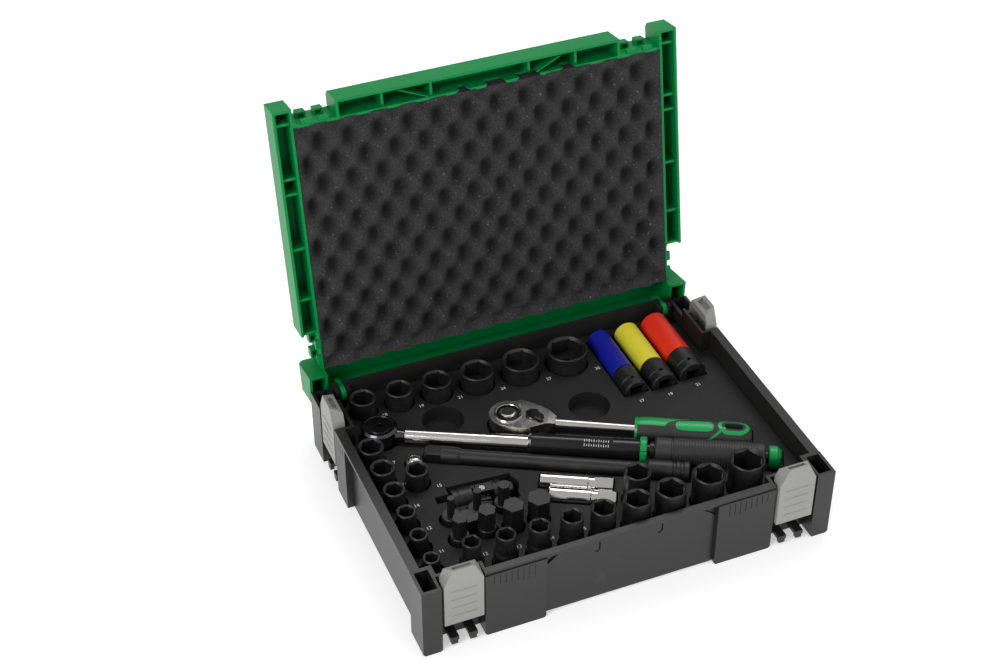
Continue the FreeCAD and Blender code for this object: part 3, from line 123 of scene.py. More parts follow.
class Tree:
    def __init__(self, nodeTree):
        self.nodeTree = nodeTree

    def node(self, kind, settings=None, sockets=None):
        made = self.nodeTree.nodes.new(kind)
        for key, value in (settings or {}).items():
            if key == "stops":
                self.setStops(made.color_ramp, value)
            else:
                setattr(made, key, value)
        for key, value in (sockets or {}).items():
            self.feed(made.inputs[key], value)
        return Outputs(self, made)

    def math(self, operation, first, second=0.0, third=0.0):
        return self.node("ShaderNodeMath", {"operation": operation}, {0: first, 1: second, 2: third})["Value"]

    def feed(self, socket, value):
        if isinstance(value, Value):
            self.nodeTree.links.new(value.socket, socket)
        else:
            socket.default_value = value

    def setStops(self, ramp, stops):
        while len(ramp.elements) < len(stops):
            ramp.elements.new(0.5)
        for element, (place, colour) in zip(ramp.elements, stops):
            element.position = place
            element.color = colour


class Paint(Tree):
    # a material: a Principled surface and what varies over it
    def __init__(self, name, **settings):
        self.material = bpy.data.materials.new(name)
        self.material.use_nodes = True
        super().__init__(self.material.node_tree)
        self.surface = self.nodeTree.nodes["Principled BSDF"]
        for key, value in settings.items():
            self.surface.inputs[key.replace("_", " ")].default_value = value
        self.place = self.node("ShaderNodeTexCoord")["Object"]

    def set(self, socket, value):
        self.feed(self.surface.inputs[socket], value)

    def noise(self, scale, detail=4.0, roughness=0.55, place=None):
        return self.node("ShaderNodeTexNoise", {"noise_dimensions": "3D"},
                         {"Vector": place or self.place, "Scale": scale, "Detail": detail,
                          "Roughness": roughness})["Fac"]

    def specks(self, scale, place=None):
        return self.node("ShaderNodeTexVoronoi", {"feature": "F1"},
                         {"Vector": place or self.place, "Scale": scale})["Distance"]

    def mix(self, share, first, second):
        made = self.node("ShaderNodeMix", {"data_type": "RGBA"}, {"Factor": share, 6: first, 7: second})
        return Value(self, made.made.outputs[2])

    def bump(self, height, strength, distance, under=None):
        sockets = {"Height": height, "Strength": strength, "Distance": distance}
        if under is not None:
            sockets["Normal"] = under
        return self.node("ShaderNodeBump", {}, sockets)["Normal"]


def shade(colour, factor):
    return tuple(min(1.0, c * factor) for c in colour[:3]) + (1.0,)


# ---- materials

def mouldedPlastic(name, colour, roughness=0.42, grain=0.25, dust=0.06, shine=0.38):
    # injection moulded: faint flow variation, fine spark-eroded grain, a little handling shine
    paint = Paint(name, Roughness=roughness, IOR=1.5, Specular_IOR_Level=shine)
    cloud = paint.noise(9.0, 3.0)
    fine = paint.noise(900.0, 2.0)
    scuff = paint.noise(60.0, 6.0, 0.7)
    tone = paint.mix(cloud.between(0.3, 0.7), shade(colour, 0.9), shade(colour, 1.08))
    marks = scuff.between(0.62, 0.8) * dust
    paint.set("Base Color", paint.mix(marks, tone, (0.4, 0.4, 0.4, 1.0)))
    paint.set("Roughness", roughness + (cloud - 0.5) * 0.12 + marks * 0.6)
    paint.set("Normal", paint.bump(fine, grain, 0.00012, paint.bump(scuff, 0.05, 0.0004)))
    return paint.material


def blackSteel(name, colour, roughness=0.45):
    # phosphate finish: mottled, slightly metallic, with rubbed high spots
    paint = Paint(name, Metallic=0.35, IOR=1.6)
    mottled = paint.noise(220.0, 5.0, 0.65)
    rubbed = paint.noise(35.0, 4.0)
    tone = paint.mix(mottled.between(0.35, 0.7), shade(colour, 0.75), shade(colour, 1.3))
    paint.set("Base Color", paint.mix(rubbed.between(0.6, 0.85) * 0.25, tone, (0.12, 0.12, 0.12, 1.0)))
    paint.set("Roughness", roughness + (mottled - 0.5) * 0.3)
    paint.set("Normal", paint.bump(mottled, 0.25, 0.0001))
    return paint.material


def chromed(name, roughness=0.07, colour=(0.86, 0.86, 0.85, 1.0)):
    paint = Paint(name, Metallic=1.0)
    smear = paint.noise(30.0, 5.0, 0.65)
    haze = paint.noise(5.0, 2.0)
    paint.set("Base Color", paint.mix(haze, shade(colour, 0.93), colour))
    paint.set("Roughness", roughness + smear.between(0.45, 0.8) * 0.1)
    paint.set("Normal", paint.bump(paint.noise(260.0, 3.0), 0.04, 0.0001))
    return paint.material


def cellFoam(name, colour, speck):
    # open cell foam: soft dark cells with light crumbs, and painted shade in the pits of its dimples
    paint = Paint(name, Roughness=0.95, IOR=1.35)
    cells = paint.specks(620.0)
    crumbs = paint.noise(380.0, 3.0, 0.7)
    wide = paint.noise(14.0, 3.0)
    tone = paint.mix(cells.between(0.15, 0.75), shade(colour, 1.35), shade(colour, 0.6))
    tone = paint.mix(wide * 0.5, tone, shade(colour, 1.2))
    # painted shade: the deeper a point lies in a dimple's pit, the darker its colour and the dimmer its crumbs
    pit = paint.node("ShaderNodeAttribute", {"attribute_name": "pit"})["Fac"]
    tone = paint.mix(pit.between(0.25, 0.95) * 0.72, tone, shade(colour, 0.18))
    paint.set("Base Color", paint.mix(crumbs.between(0.64, 0.72) * (0.9 - pit * 0.6), tone, speck))
    paint.set("Roughness", 0.98 - crumbs * 0.1)
    paint.set("Normal", paint.bump(cells, 0.8, 0.0006, paint.bump(crumbs, 0.5, 0.0008)))
    return paint.material


def denseFoam(name, colour):
    # cross-linked EVA: closed skin with a faint leathery grain
    paint = Paint(name, Roughness=0.7, IOR=1.42)
    skin = paint.noise(420.0, 4.0, 0.6)
    wide = paint.noise(7.0, 3.0)
    paint.set("Base Color", paint.mix(wide.between(0.3, 0.7), shade(colour, 0.85), shade(colour, 1.15)))
    paint.set("Roughness", 0.66 + (skin - 0.5) * 0.25)
    paint.set("Normal", paint.bump(skin, 0.35, 0.0003))
    return paint.material


def rubber(name, colour, roughness=0.6):
    paint = Paint(name, IOR=1.5)
    fine = paint.noise(800.0, 2.0)
    cloud = paint.noise(25.0, 4.0)
    paint.set("Base Color", paint.mix(cloud, shade(colour, 0.8), shade(colour, 1.25)))
    paint.set("Roughness", roughness + (cloud - 0.5) * 0.2)
    paint.set("Normal", paint.bump(fine, 0.3, 0.00015))
    return paint.material


def ink(name, colour):
    paint = Paint(name, Roughness=0.6)
    worn = paint.noise(700.0, 4.0)
    paint.set("Base Color", paint.mix(worn.between(0.4, 0.75) * 0.5, colour, shade(colour, 0.55)))
    paint.set("Normal", paint.bump(worn, 0.1, 0.0001))
    return paint.material


finishes = {
    "case_plastic": mouldedPlastic("casePlastic", (0.016, 0.016, 0.0155), 0.33),
    "lid_plastic": mouldedPlastic("lidPlastic", (0.0, 0.232, 0.055), 0.36, 0.2, 0.012, 0.14),
    "handle_plastic": mouldedPlastic("handlePlastic", (0.0, 0.222, 0.052), 0.36, 0.2, 0.012, 0.14),
    "latch_plastic": mouldedPlastic("latchPlastic", (0.27, 0.27, 0.255), 0.42, 0.2, 0.03),
    "tray_foam": denseFoam("trayFoam", (0.0105, 0.0100, 0.0102)),
    "lid_foam": cellFoam("lidFoam", (0.036, 0.035, 0.037), (0.24, 0.24, 0.25, 1.0)),
    "black_steel": blackSteel("blackSteel", (0.0125, 0.0125, 0.0125)),
    "chrome": chromed("chrome", 0.13, (0.72, 0.71, 0.69, 1.0)),
    "steel_pin": chromed("steelPin", 0.25, (0.55, 0.55, 0.54, 1.0)),
    "steel_screw": chromed("steelScrew", 0.35, (0.2, 0.2, 0.2, 1.0)),
    "grip_plastic": rubber("gripRubber", (0.018, 0.018, 0.018)),
    "knurled_grip": rubber("knurledGrip", (0.02, 0.02, 0.02), 0.5),
    "green_trim": mouldedPlastic("greenTrim", (0.004, 0.30, 0.075), 0.3, 0.1, 0.02),
    "sleeve_blue": mouldedPlastic("sleeveBlue", (0.006, 0.011, 0.30), 0.42, 0.1, 0.02),
    "sleeve_yellow": mouldedPlastic("sleeveYellow", (0.76, 0.68, 0.045), 0.42, 0.1, 0.02),
    "sleeve_red": mouldedPlastic("sleeveRed", (0.78, 0.030, 0.012), 0.42, 0.1, 0.02),
}
whiteInk = ink("whiteInk", (0.75, 0.75, 0.75, 1.0))
darkChrome = chromed("darkChrome", 0.16, (0.11, 0.11, 0.115, 1.0))
satinChrome = chromed("satinChrome", 0.24, (0.60, 0.59, 0.565, 1.0))
blackTube = mouldedPlastic("blackTube", (0.008, 0.008, 0.008), 0.22, 0.05, 0.02)
print("materials ready")


# ---- pieces

def addPiece(name, mesh, body, material=None, replaced=()):
    piece = bpy.data.objects.new(name, mesh)
    bpy.context.scene.collection.objects.link(piece)
    if material is not None:
        mesh.materials.clear()
        mesh.materials.append(material)
    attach(piece, body)
    if replaced:
        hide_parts(*replaced)
    return piece


def smoothed(mesh, angle=32.0):
    mesh.polygons.foreach_set("use_smooth", [True] * len(mesh.polygons))
    mesh.set_sharp_from_angle(angle=math.radians(angle))
    return mesh


def joinedCopy(node):
    # the node's loose triangles merged into flat faces
    mesh = nodes[node].data.copy()
    mesh.materials.clear()
    shape = bmesh.new()
    shape.from_mesh(mesh)
    bmesh.ops.remove_doubles(shape, verts=shape.verts, dist=2e-6)
    bmesh.ops.dissolve_limit(shape, angle_limit=math.radians(0.6), verts=shape.verts, edges=shape.edges)
    shape.to_mesh(mesh)
    shape.free()
    return mesh


def eased(node, radius, segments=2, angle=35.0):
    # a copy of a CAD part with its hard edges rounded, which stands for it
    mesh = joinedCopy(node)
    piece = bpy.data.objects.new(node + "_finished", mesh)
    bpy.context.scene.collection.objects.link(piece)
    mesh.materials.append(finishes[slotOf[node]])
    edge = piece.modifiers.new("edges", "BEVEL")
    edge.width = radius
    edge.segments = segments
    edge.limit_method = "ANGLE"
    edge.angle_limit = math.radians(angle)
    edge.use_clamp_overlap = True
    normals = piece.modifiers.new("normals", "WEIGHTED_NORMAL")
    normals.keep_sharp = True
    mesh = smoothed(mesh, 40.0)
    ready = bpy.data.meshes.new_from_object(piece.evaluated_get(bpy.context.evaluated_depsgraph_get()))
    piece.modifiers.clear()
    piece.data = ready
    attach(piece, bodyOf[node])
    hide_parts(node)
    return piece


edgeRadius = {
    "base_shell": 0.7, "lid_shell": 0.6, "tool_tray": 0.5, "carry_handle": 1.2, "hinge_pins": 0.25,
    "latch_front_left": 0.6, "latch_front_right": 0.6, "latch_side_left": 0.6, "latch_side_right": 0.6,
    "ratchet_body": 0.6, "ratchet_drive": 0.25, "ratchet_pawl": 0.2, "ratchet_lever": 0.5, "ratchet_button": 0.3,
    "ratchet_screws": 0.2, "ratchet_grip": 0.5, "torque_head": 0.5, "torque_drive": 0.25, "torque_tube": 0.4,
    "torque_lock_ring": 0.3, "torque_grip": 0.4, "torque_end_cap": 0.4, "joint_socket_end": 0.4,
    "joint_cross": 0.3, "joint_square_end": 0.4, "extension_bar": 0.4, "drive_adapter": 0.4,
    "spark_socket_upper": 0.3, "spark_socket_lower": 0.3, "hex_bit_sockets": 0.4,
}
finished = {}
for node in nodes:
    if node != "lid_foam":
        finished[node] = eased(node, edgeRadius.get(node, 0.35) * mm)
for node, material in (("ratchet_lever", darkChrome), ("torque_head", darkChrome), ("ratchet_body", satinChrome)):
    finished[node].data.materials[0] = material
print("CAD parts eased")


# ---- the lid's own frame: closed coordinates, swung open about the hinge

hinge = next(joint for joint in frame["joints"] if joint["name"] == "lid_hinge")
hingePoint = Vector(hinge["pos_m"])
swing = Matrix.Rotation(math.radians(hinge["range_deg"][0]), 4, "X")
openLid = Matrix.Translation(hingePoint) @ swing @ Matrix.Translation(-hingePoint)


def closedBox(node):
    shutLid = openLid.inverted()
    places = [shutLid @ v.co for v in nodes[node].data.vertices]
    low = Vector(min(p[i] for p in places) for i in range(3))
    high = Vector(max(p[i] for p in places) for i in range(3))
    return low, high


# ---- egg-crate foam in the lid

eggCrate = {"pitch": 28.5 * mm, "row": 20.7 * mm, "height": 14.5 * mm, "thick": 29.0 * mm, "cells": 230,
            "rows": 160, "lump": 1.6 * mm, "overhang": 1.8 * mm, "pressed": 0.44, "fade": 9.0 * mm}


def eggCrateTree(material):
    group = bpy.data.node_groups.new("eggCrate", "GeometryNodeTree")
    group.interface.new_socket("Geometry", in_out="INPUT", socket_type="NodeSocketGeometry")
    for name in ("Pitch", "Row", "Height", "Lump", "Half Width", "Half Depth", "Fade"):
        group.interface.new_socket(name, in_out="INPUT", socket_type="NodeSocketFloat")
    group.interface.new_socket("Geometry", in_out="OUTPUT", socket_type="NodeSocketGeometry")
    tree = Tree(group)
    given = tree.node("NodeGroupInput")
    place = tree.node("GeometryNodeInputPosition")["Position"]
    parts = tree.node("ShaderNodeSeparateXYZ", {}, {0: place})
    turn = 2.0 * math.pi
    wobble = tree.node("ShaderNodeTexNoise", {"noise_dimensions": "3D"},
                       {"Vector": place, "Scale": 22.0, "Detail": 2.0})["Fac"]
    across = (parts["X"] + (wobble - 0.5) * given["Lump"]) * turn / given["Pitch"]
    down = (parts["Y"] + (wobble - 0.5) * given["Lump"]) * (0.5 * turn) / given["Row"]
    wave = across.cosine() * down.cosine()
    # the waves die out beside the sides and the front
    side = (given["Half Width"] - abs(parts["X"])) / given["Fade"]
    front = (parts["Y"] + given["Half Depth"]) / given["Fade"]
    other = (given["Half Depth"] - parts["Y"]) / given["Fade"]
    near = side.smaller(front).smaller(other).between(0.0, 1.0)
    pit = (wave * 0.5 + 0.5) ** 1.35 * (near * 0.8 + 0.2)
    dent = pit * given["Height"] + wobble * given["Lump"]
    # the pit depth is also kept as the attribute pit, which the foam paint uses to paint shade into the pits
    stored = tree.node("GeometryNodeStoreNamedAttribute", {"data_type": "FLOAT", "domain": "POINT"},
                       {"Geometry": given["Geometry"], "Selection": parts["Z"].above(0.0), "Name": "pit",
                        "Value": pit})["Geometry"]
    offset = tree.node("ShaderNodeCombineXYZ", {}, {"Z": dent * -1.0})["Vector"]
    moved = tree.node("GeometryNodeSetPosition", {},
                      {"Geometry": stored, "Selection": parts["Z"].above(0.0), "Offset": offset})["Geometry"]
    real = tree.node("GeometryNodeRealizeInstances", {}, {"Geometry": moved})["Geometry"]
    dressed = tree.node("GeometryNodeSetMaterial", {}, {"Geometry": real, "Material": material})["Geometry"]
    result = tree.nodeTree.nodes.new("NodeGroupOutput")
    group.links.new(dressed.socket, result.inputs["Geometry"])
    return group


def withTree(piece, group, **sizes):
    # runs a geometry tree on a piece and keeps the plain mesh that it gives
    made = piece.modifiers.new("tree", "NODES")
    made.node_group = group
    for item in group.interface.items_tree:
        if item.item_type == "SOCKET" and item.in_out == "INPUT" and item.name in sizes:
            made[item.identifier] = sizes[item.name]
    mesh = bpy.data.meshes.new_from_object(piece.evaluated_get(bpy.context.evaluated_depsgraph_get()))
    piece.modifiers.clear()
    return mesh


def foamBlock(low, high, columns, rows):
    # closed slab, its wavy side up at z = 0 and its flat side below
    shape = bmesh.new()
    width = high.x - low.x
    depth = high.y - low.y
    thick = high.z - low.z
    top = {}
    for i in range(columns + 1):
        for j in range(rows + 1):
            x = (i / columns - 0.5) * width
            y = (j / rows - 0.5) * depth
            top[i, j] = shape.verts.new((x, y, 0.0001))
    for i in range(columns):
        for j in range(rows):
            shape.faces.new((top[i, j], top[i + 1, j], top[i + 1, j + 1], top[i, j + 1]))
    rim = [e for e in shape.edges if e.is_boundary]
    under = bmesh.ops.extrude_edge_only(shape, edges=rim)
    skirt = [v for v in under["geom"] if isinstance(v, bmesh.types.BMVert)]
    for v in skirt:
        v.co.z = -thick
    bmesh.ops.contextual_create(shape, geom=[e for e in shape.edges if e.is_boundary])
    bmesh.ops.recalc_face_normals(shape, faces=shape.faces)
    mesh = bpy.data.meshes.new("lid_foam_eggcrate")
    shape.to_mesh(mesh)
    shape.free()
    return mesh


def lidFoam():
    low, high = closedBox("lid_foam")
    low.z = high.z - eggCrate["thick"]
    low.y -= eggCrate["overhang"]
    low.x -= eggCrate["overhang"] * 0.3
    high.x += eggCrate["overhang"] * 0.3
    high.y -= 6.0 * mm
    block = bpy.data.objects.new("foamBlock", foamBlock(low, high, eggCrate["cells"], eggCrate["rows"]))
    bpy.context.scene.collection.objects.link(block)
    group = eggCrateTree(finishes["lid_foam"])
    mesh = withTree(block, group, Pitch=eggCrate["pitch"], Row=eggCrate["row"], Height=eggCrate["height"],
                    Lump=eggCrate["lump"], Fade=eggCrate["fade"], **{"Half Width": (high.x - low.x) / 2,
                                                                     "Half Depth": (high.y - low.y) / 2})
    bpy.data.objects.remove(block)
    middle = (low + high) / 2
    # the wavy side faces down out of the closed lid
    over = Matrix.Rotation(math.pi, 4, "X")
    mesh.transform(openLid @ Matrix.Translation((middle.x, middle.y, low.z)) @ over)
    smoothed(mesh, 60.0)
    piece = addPiece("lid_foam_eggcrate", mesh, "lid", replaced=["lid_foam"])
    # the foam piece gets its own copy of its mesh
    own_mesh(piece)
    return piece


lidFoam()
print("foam ready")


# ---- size numbers on the tray

numbers = {"height": 5.2 * mm, "proud": 0.12 * mm}


def centreOf(node):
    low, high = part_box(node)
    return (low + high) / 2


def textMesh(words, height):
    curve = bpy.data.curves.new("words", "FONT")
    curve.body = words
    curve.size = height
    curve.align_x = "CENTER"
    curve.align_y = "CENTER"
    curve.extrude = numbers["proud"]
    holder = bpy.data.objects.new("words", curve)
    bpy.context.scene.collection.objects.link(holder)
    mesh = bpy.data.meshes.new_from_object(holder.evaluated_get(bpy.context.evaluated_depsgraph_get()))
    bpy.data.objects.remove(holder)
    return mesh


def trayNumbers():
    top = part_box("tool_tray")[1].z
    shape = bmesh.new()
    for node in nodes:
        words = node.split("_")[-1]
        middle = centreOf(node)
        if node.startswith("short_socket") and middle.y > 90 * mm:
            low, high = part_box(node)
            place = Vector((middle.x + (high.x - low.x) * 0.5 + 4.5 * mm, low.y + 0.5 * mm, top))
        elif node.startswith("short_socket"):
            place = Vector((middle.x + 17.0 * mm, middle.y - 10.5 * mm, top))
        elif node.startswith("deep_socket"):
            place = Vector((middle.x + 17.5 * mm, middle.y + 12.5 * mm, top))
        elif node.startswith("wheel_socket"):
            place = Vector((middle.x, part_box(node)[0].y - 12.0 * mm, top))
        else:
            continue
        mesh = textMesh(words, numbers["height"])
        mesh.transform(Matrix.Translation(place))
        shape.from_mesh(mesh)
    mesh = bpy.data.meshes.new("tray_numbers")
    shape.to_mesh(mesh)
    shape.free()
    addPiece("tray_numbers", mesh, "case", whiteInk)


trayNumbers()
print("numbers ready")


# ---- tools: each has its own line along (u), across (v) and up (w), from its drive

class Line:
    def __init__(self, jointName, node):
        joint = next(j for j in frame["joints"] if j["name"] == jointName)
        self.start = Vector(joint["pos_m"])
        far = centreOf(node) - self.start
        self.along = Vector((far.x, far.y, 0.0)).normalized()
        self.across = Vector((-self.along.y, self.along.x, 0.0))
        self.start.z = centreOf(node).z

    def at(self, u, v, w):
        return self.start + self.along * u + self.across * v + Vector((0.0, 0.0, w))

    def matrix(self, u, v, w):
        # turns X to the line and Z up
        turn = Matrix((self.along, self.across, Vector((0.0, 0.0, 1.0)))).transposed().to_4x4()
        return Matrix.Translation(self.at(u, v, w)) @ turn

    def measure(self, place):
        return (place - self.start).dot(self.along)


def surfaceOf(node):
    mesh = nodes[node].data
    places = [v.co for v in mesh.vertices]
    return BVHTree.FromPolygons(places, [tuple(f.vertices) for f in mesh.polygons])


def skinPatch(name, surface, line, grid, lift, body, material):
    # a thin raised skin over a tool: grid is rows of (u, angle from the top)
    shape = bmesh.new()
    rows = []
    for row in grid:
        made = []
        for u, angle in row:
            outward = line.across * math.sin(angle) + Vector((0.0, 0.0, math.cos(angle)))
            axis = line.at(u, 0.0, 0.0)
            hit = surface.ray_cast(axis + outward * 0.06, -outward)[0] or axis + outward * 0.005
            made.append(shape.verts.new(hit + outward * lift))
        rows.append(made)
    for low, high in zip(rows, rows[1:]):
        for i in range(len(low) - 1):
            shape.faces.new((low[i], high[i], high[i + 1], low[i + 1]))
    bmesh.ops.remove_doubles(shape, verts=shape.verts, dist=1e-6)
    bmesh.ops.recalc_face_normals(shape, faces=shape.faces)
    mesh = bpy.data.meshes.new(name)
    shape.to_mesh(mesh)
    shape.free()
    middle = sum((v.co for v in mesh.vertices), Vector()) / len(mesh.vertices)
    outwards = sum((f.normal * f.area for f in mesh.polygons), Vector())
    if outwards.dot(middle - line.at(line.measure(middle), 0.0, 0.0)) < 0:
        mesh.flip_normals()
    holder = bpy.data.objects.new(name, mesh)
    bpy.context.scene.collection.objects.link(holder)
    thick = holder.modifiers.new("thick", "SOLIDIFY")
    thick.thickness = lift * 2.2
    thick.offset = -1.0
    solid = bpy.data.meshes.new_from_object(holder.evaluated_get(bpy.context.evaluated_depsgraph_get()))
    bpy.data.objects.remove(holder)
    smoothed(solid, 50.0)
    return addPiece(name, solid, body, material)


def band(start, end, low, high, steps=40, columns=14):
    # rows of (u, angle); low and high give the edges' angles in degrees from the share of the way
    grid = []
    for i in range(steps + 1):
        share = i / steps
        a = math.radians(low(share))
        b = math.radians(high(share))
        grid.append([(start + (end - start) * share, a + (b - a) * j / columns) for j in range(columns + 1)])
    return grid


ratchetGreen = {"start": 118.2 * mm, "ring": 2.4 * mm, "bandEnd": 146.0 * mm, "taperEnd": 168.0 * mm,
                "plateStart": 155.5 * mm, "plateEnd": 190.5 * mm, "lift": 0.28 * mm, "slotStart": 204.0 * mm,
                "slotEnd": 214.0 * mm, "slotRadius": 6.2 * mm, "loop": 3.4 * mm, "bandLow": -26.0,
                "bandHigh": 112.0, "taper": 40.0, "plateTurn": -14.0, "strapStart": 181.0 * mm}


def ratchetTrim():
    line = Line("ratchet_drive_spin", "ratchet_grip")
    surface = surfaceOf("ratchet_grip")
    sizes = ratchetGreen
    green = finishes["green_trim"]

    def lay(name, grid, lift=sizes["lift"]):
        skinPatch(name, surface, line, grid, lift, "ratchet", green)

    lay("ratchet_green_ring", band(sizes["start"], sizes["start"] + sizes["ring"], lambda t: 0.0, lambda t: 360.0,
                                   4, 72))
    lay("ratchet_green_band", band(sizes["start"] + 0.5 * sizes["ring"], sizes["bandEnd"],
                                   lambda t: sizes["bandLow"], lambda t: sizes["bandHigh"]))
    lay("ratchet_green_taper", band(sizes["bandEnd"] - 0.2 * mm, sizes["taperEnd"], 
                                    lambda t: sizes["bandLow"] + (sizes["taper"] - sizes["bandLow"]) * t ** 0.6,
                                    lambda t: sizes["bandHigh"]))

    def plateHalf(t):
        return 27.0 * (1.0 - abs(2.0 * t - 1.0) ** 4.0) ** 0.25 + 0.2

    lay("ratchet_plate", band(sizes["plateStart"], sizes["plateEnd"], lambda t: sizes["plateTurn"] - plateHalf(t),
                              lambda t: sizes["plateTurn"] + plateHalf(t), 60, 16), 0.42 * mm)
    # strap from the front side up to the loop, then the loop round the hanging slot
    width = sizes["loop"] * 1.25
    strap = []
    for i in range(31):
        t = i / 30
        middle = sizes["strapStart"] + (sizes["slotStart"] - 1.0 * mm - sizes["strapStart"]) * t ** 0.9
        angle = math.radians(-88.0 + 82.0 * t ** 1.15)
        strap.append([(middle - width / 2 + width * j / 8, angle + math.radians(4.0) * (j / 8 - 0.5))
                      for j in range(9)])
    lay("ratchet_green_strap", strap)
    loop = []
    half = 13.2 * mm
    for i in range(65):
        turn = 2.0 * math.pi * i / 64
        row = []
        for j in range(7):
            r = sizes["slotRadius"] + 0.15 * mm + sizes["loop"] * j / 6
            end = sizes["slotEnd"] if math.cos(turn) >= 0 else sizes["slotStart"]
            row.append((end + r * math.cos(turn), math.asin(max(-1.0, min(1.0, r * math.sin(turn) / half)))))
        loop.append(row)
    lay("ratchet_green_loop", loop)


def turnedRing(profile, matrix, steps=72):
    # a closed outline of (radius, height) turned about the matrix's Z
    shape = bmesh.new()
    rows = []
    for i in range(steps):
        a = 2.0 * math.pi * i / steps
        rows.append([shape.verts.new(matrix @ Vector((r * math.cos(a), r * math.sin(a), h))) for r, h in profile])
    count = len(profile)
    for i in range(steps):
        here = rows[i]
        after = rows[(i + 1) % steps]
        for j in range(count):
            k = (j + 1) % count
            shape.faces.new((here[j], after[j], after[k], here[k]))
    bmesh.ops.recalc_face_normals(shape, faces=shape.faces)
    mesh = bpy.data.meshes.new("ring")
    shape.to_mesh(mesh)
    shape.free()
    return smoothed(mesh, 35.0)


headRings = {"chromeInner": 11.2 * mm, "chromeOuter": 13.0 * mm, "chromeHigh": 1.3 * mm, "darkInner": 8.0 * mm,
             "darkOuter": 10.9 * mm, "notches": 18, "notch": 0.7 * mm}


def ratchetHead():
    line = Line("ratchet_drive_spin", "ratchet_grip")
    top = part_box("ratchet_body")[1].z - line.start.z
    place = line.matrix(0.0, 0.0, top)
    sizes = headRings
    edge = 0.35 * mm
    a, b, h = sizes["chromeInner"], sizes["chromeOuter"], sizes["chromeHigh"]
    ring = turnedRing([(a, -edge), (a, h - edge), (a + edge, h), (b - edge, h), (b, h - edge), (b, -edge)], place)
    addPiece("ratchet_head_ring", ring, "ratchet", finishes["chrome"])
    # dark notched ring between the button and the bright ring
    shape = bmesh.new()
    steps = sizes["notches"] * 8
    loops = []
    for i in range(steps):
        turn = 2.0 * math.pi * i / steps
        inner = sizes["darkInner"] + (sizes["notch"] if i % 8 < 3 else 0.0)
        outline = [(inner, -edge), (inner, 0.9 * mm), (sizes["darkOuter"], 0.7 * mm), (sizes["darkOuter"], -edge)]
        loops.append([shape.verts.new(place @ Vector((r * math.cos(turn), r * math.sin(turn), h)))
                      for r, h in outline])
    for i in range(steps):
        here, after = loops[i], loops[(i + 1) % steps]
        for j in range(4):
            k = (j + 1) % 4
            shape.faces.new((here[j], after[j], after[k], here[k]))
    bmesh.ops.recalc_face_normals(shape, faces=shape.faces)
    mesh = bpy.data.meshes.new("notched")
    shape.to_mesh(mesh)
    shape.free()
    addPiece("ratchet_notched_ring", smoothed(mesh), "ratchet", darkChrome)


def knurlTree(material):
    # small studs in staggered rows round a bar along X
    group = bpy.data.node_groups.new("knurl", "GeometryNodeTree")
    group.interface.new_socket("Geometry", in_out="INPUT", socket_type="NodeSocketGeometry")
    for name in ("Radius", "Length", "Stud"):
        group.interface.new_socket(name, in_out="INPUT", socket_type="NodeSocketFloat")
    for name in ("Rows", "Round"):
        group.interface.new_socket(name, in_out="INPUT", socket_type="NodeSocketInt")
    group.interface.new_socket("Geometry", in_out="OUTPUT", socket_type="NodeSocketGeometry")
    tree = Tree(group)
    given = tree.node("NodeGroupInput")
    grid = tree.node("GeometryNodeMeshGrid", {}, {"Size X": 1.0, "Size Y": 1.0, "Vertices X": given["Rows"],
                                                  "Vertices Y": given["Round"]})["Mesh"]
    parts = tree.node("ShaderNodeSeparateXYZ", {}, {0: tree.node("GeometryNodeInputPosition")["Position"]})
    index = tree.node("GeometryNodeInputIndex")["Index"]
    row = tree.math("FLOOR", (index + 0.5) / given["Round"])
    odd = tree.math("MODULO", row, 2.0)
    # the last column would fall on the first, so the round is shortened by one step
    turn = (parts["Y"] * (given["Round"] - 1.0) + odd * 0.5) / given["Round"] * (2.0 * math.pi)
    place = tree.node("ShaderNodeCombineXYZ", {}, {"X": (parts["X"] + 0.5) * given["Length"],
                                                   "Y": tree.math("SINE", turn) * given["Radius"],
                                                   "Z": turn.cosine() * given["Radius"]})["Vector"]
    moved = tree.node("GeometryNodeSetPosition", {}, {"Geometry": grid, "Position": place})["Geometry"]
    facing = tree.node("ShaderNodeCombineXYZ", {}, {"X": turn * -1.0})["Vector"]
    stud = tree.node("GeometryNodeMeshCone", {}, {"Vertices": 4, "Radius Top": given["Stud"] * 0.35,
                                                  "Radius Bottom": given["Stud"], "Depth": given["Stud"] * 0.7})["Mesh"]
    studs = tree.node("GeometryNodeInstanceOnPoints", {}, {"Points": moved, "Instance": stud,
                                                           "Rotation": facing})["Instances"]
    real = tree.node("GeometryNodeRealizeInstances", {}, {"Geometry": studs})["Geometry"]
    dressed = tree.node("GeometryNodeSetMaterial", {}, {"Geometry": real, "Material": material})["Geometry"]
    result = group.nodes.new("NodeGroupOutput")
    group.links.new(dressed.socket, result.inputs["Geometry"])
    return group


def knurl(name, line, u, v, w, radius, length, stud, rows, around, body, material):
    holder = bpy.data.objects.new(name, bpy.data.meshes.new(name))
    bpy.context.scene.collection.objects.link(holder)
    mesh = withTree(holder, knurlTree(material), Radius=radius, Length=length, Stud=stud, Rows=rows, Round=around)
    bpy.data.objects.remove(holder)
    mesh.transform(line.matrix(u, v, w))
    return addPiece(name, mesh, body)


torque = {"chromeEnd": 140.6 * mm, "tubeRadius": 10.0 * mm, "gripRadius": 12.5 * mm, "gripStart": 254.5 * mm,
          "knurlStart": 273.0 * mm, "knurlLength": 74.0 * mm, "scaleStart": 190.0 * mm, "digits": 3.4 * mm}


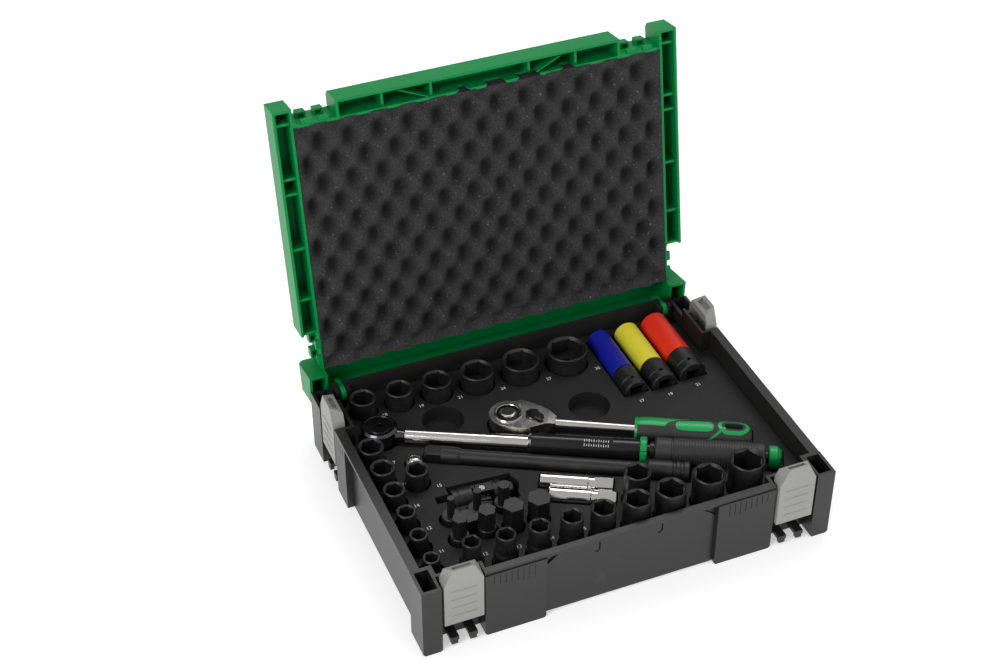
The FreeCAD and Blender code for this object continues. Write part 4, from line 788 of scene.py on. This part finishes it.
def torqueTrim():
    line = Line("torque_drive_spin", "torque_grip")
    sizes = torque
    # the tube is chrome up to its collar and black beyond it
    tube = finished["torque_tube"].data
    tube.materials.append(blackTube)
    for face in tube.polygons:
        if line.measure(face.center) > sizes["chromeEnd"]:
            face.material_index = 1
    knurl("torque_knurl", line, sizes["knurlStart"], 0.0, 0.0, sizes["gripRadius"], sizes["knurlLength"], 0.95 * mm,
          30, 30, "torque_grip", finishes["knurled_grip"])
    # scale: ticks either side of the window
    shape = bmesh.new()
    top = sizes["tubeRadius"]
    for angle in (-14.0, -40.0):
        for i in range(11):
            long = (2.6 if i % 2 == 0 else 1.7) * mm
            made = bmesh.ops.create_cube(shape, size=1.0)["verts"]
            tilt = Matrix.Rotation(math.radians(-angle), 4, "X")
            place = line.matrix(sizes["scaleStart"] + 2.2 * mm * i, 0.0, 0.0) @ tilt
            place = place @ Matrix.Translation((0.0, 0.0, top)) @ Matrix.Diagonal((0.55 * mm, long, 0.3 * mm, 1.0))
            bmesh.ops.transform(shape, matrix=place, verts=made)
    mesh = bpy.data.meshes.new("torque_scale")
    shape.to_mesh(mesh)
    shape.free()
    addPiece("torque_scale", mesh, "torque_wrench", whiteInk)


ratchetTrim()
ratchetHead()
torqueTrim()
print("tool trim ready")


# ---- floor, light and camera

def softBox(name, place, target, size, power):
    light = bpy.data.lights.new(name, "AREA")
    light.shape = "RECTANGLE"
    light.size = size[0]
    light.size_y = size[1]
    light.energy = power
    lamp = bpy.data.objects.new(name, light)
    lamp.location = place
    lamp.rotation_euler = (Vector(target) - Vector(place)).to_track_quat("-Z", "Y").to_euler()
    bpy.context.scene.collection.objects.link(lamp)


def studio():
    shape = bmesh.new()
    bmesh.ops.create_grid(shape, x_segments=1, y_segments=1, size=12.0)
    mesh = bpy.data.meshes.new("floor")
    shape.to_mesh(mesh)
    shape.free()
    paint = Paint("floorPaint", Roughness=0.9, Emission_Color=(1.0, 1.0, 1.0, 1.0), Emission_Strength=0.42)
    paint.set("Base Color", (0.82, 0.82, 0.82, 1.0))
    mesh.materials.append(paint.material)
    floor = bpy.data.objects.new("floor", mesh)
    bpy.context.scene.collection.objects.link(floor)
    world = bpy.data.worlds.new("studio")
    world.use_nodes = True
    world.node_tree.nodes["Background"].inputs["Color"].default_value = (1.0, 1.0, 1.0, 1.0)
    world.node_tree.nodes["Background"].inputs["Strength"].default_value = 0.5
    bpy.context.scene.world = world
    middle = (0.0, 0.0, 0.05)
    softBox("keyLeft", (-1.7, -0.9, 1.5), middle, (1.1, 1.1), 24.0)
    softBox("overhead", (0.5, 0.9, 1.8), middle, (1.5, 0.7), 14.0)
    softBox("fillFront", (1.1, -1.7, 0.7), middle, (1.2, 0.8), 9.0)
    scene = bpy.context.scene
    scene.view_settings.view_transform = "Standard"
    scene.view_settings.look = "None"


view = {"place": (-562.2, -1190.5, 1230.4), "ahead": (0.30148, 0.72237, -0.62234), "lens": 68.75}


def camera():
    made = bpy.data.cameras.new("camera")
    made.lens = view["lens"]
    made.sensor_width = 36.0
    made.clip_start = 0.05
    made.clip_end = 50.0
    holder = bpy.data.objects.new("camera", made)
    holder.location = Vector(view["place"]) * mm
    holder.rotation_euler = Vector(view["ahead"]).to_track_quat("-Z", "Y").to_euler()
    bpy.context.scene.collection.objects.link(holder)
    bpy.context.scene.camera = holder


studio()
camera()
print("studio ready")
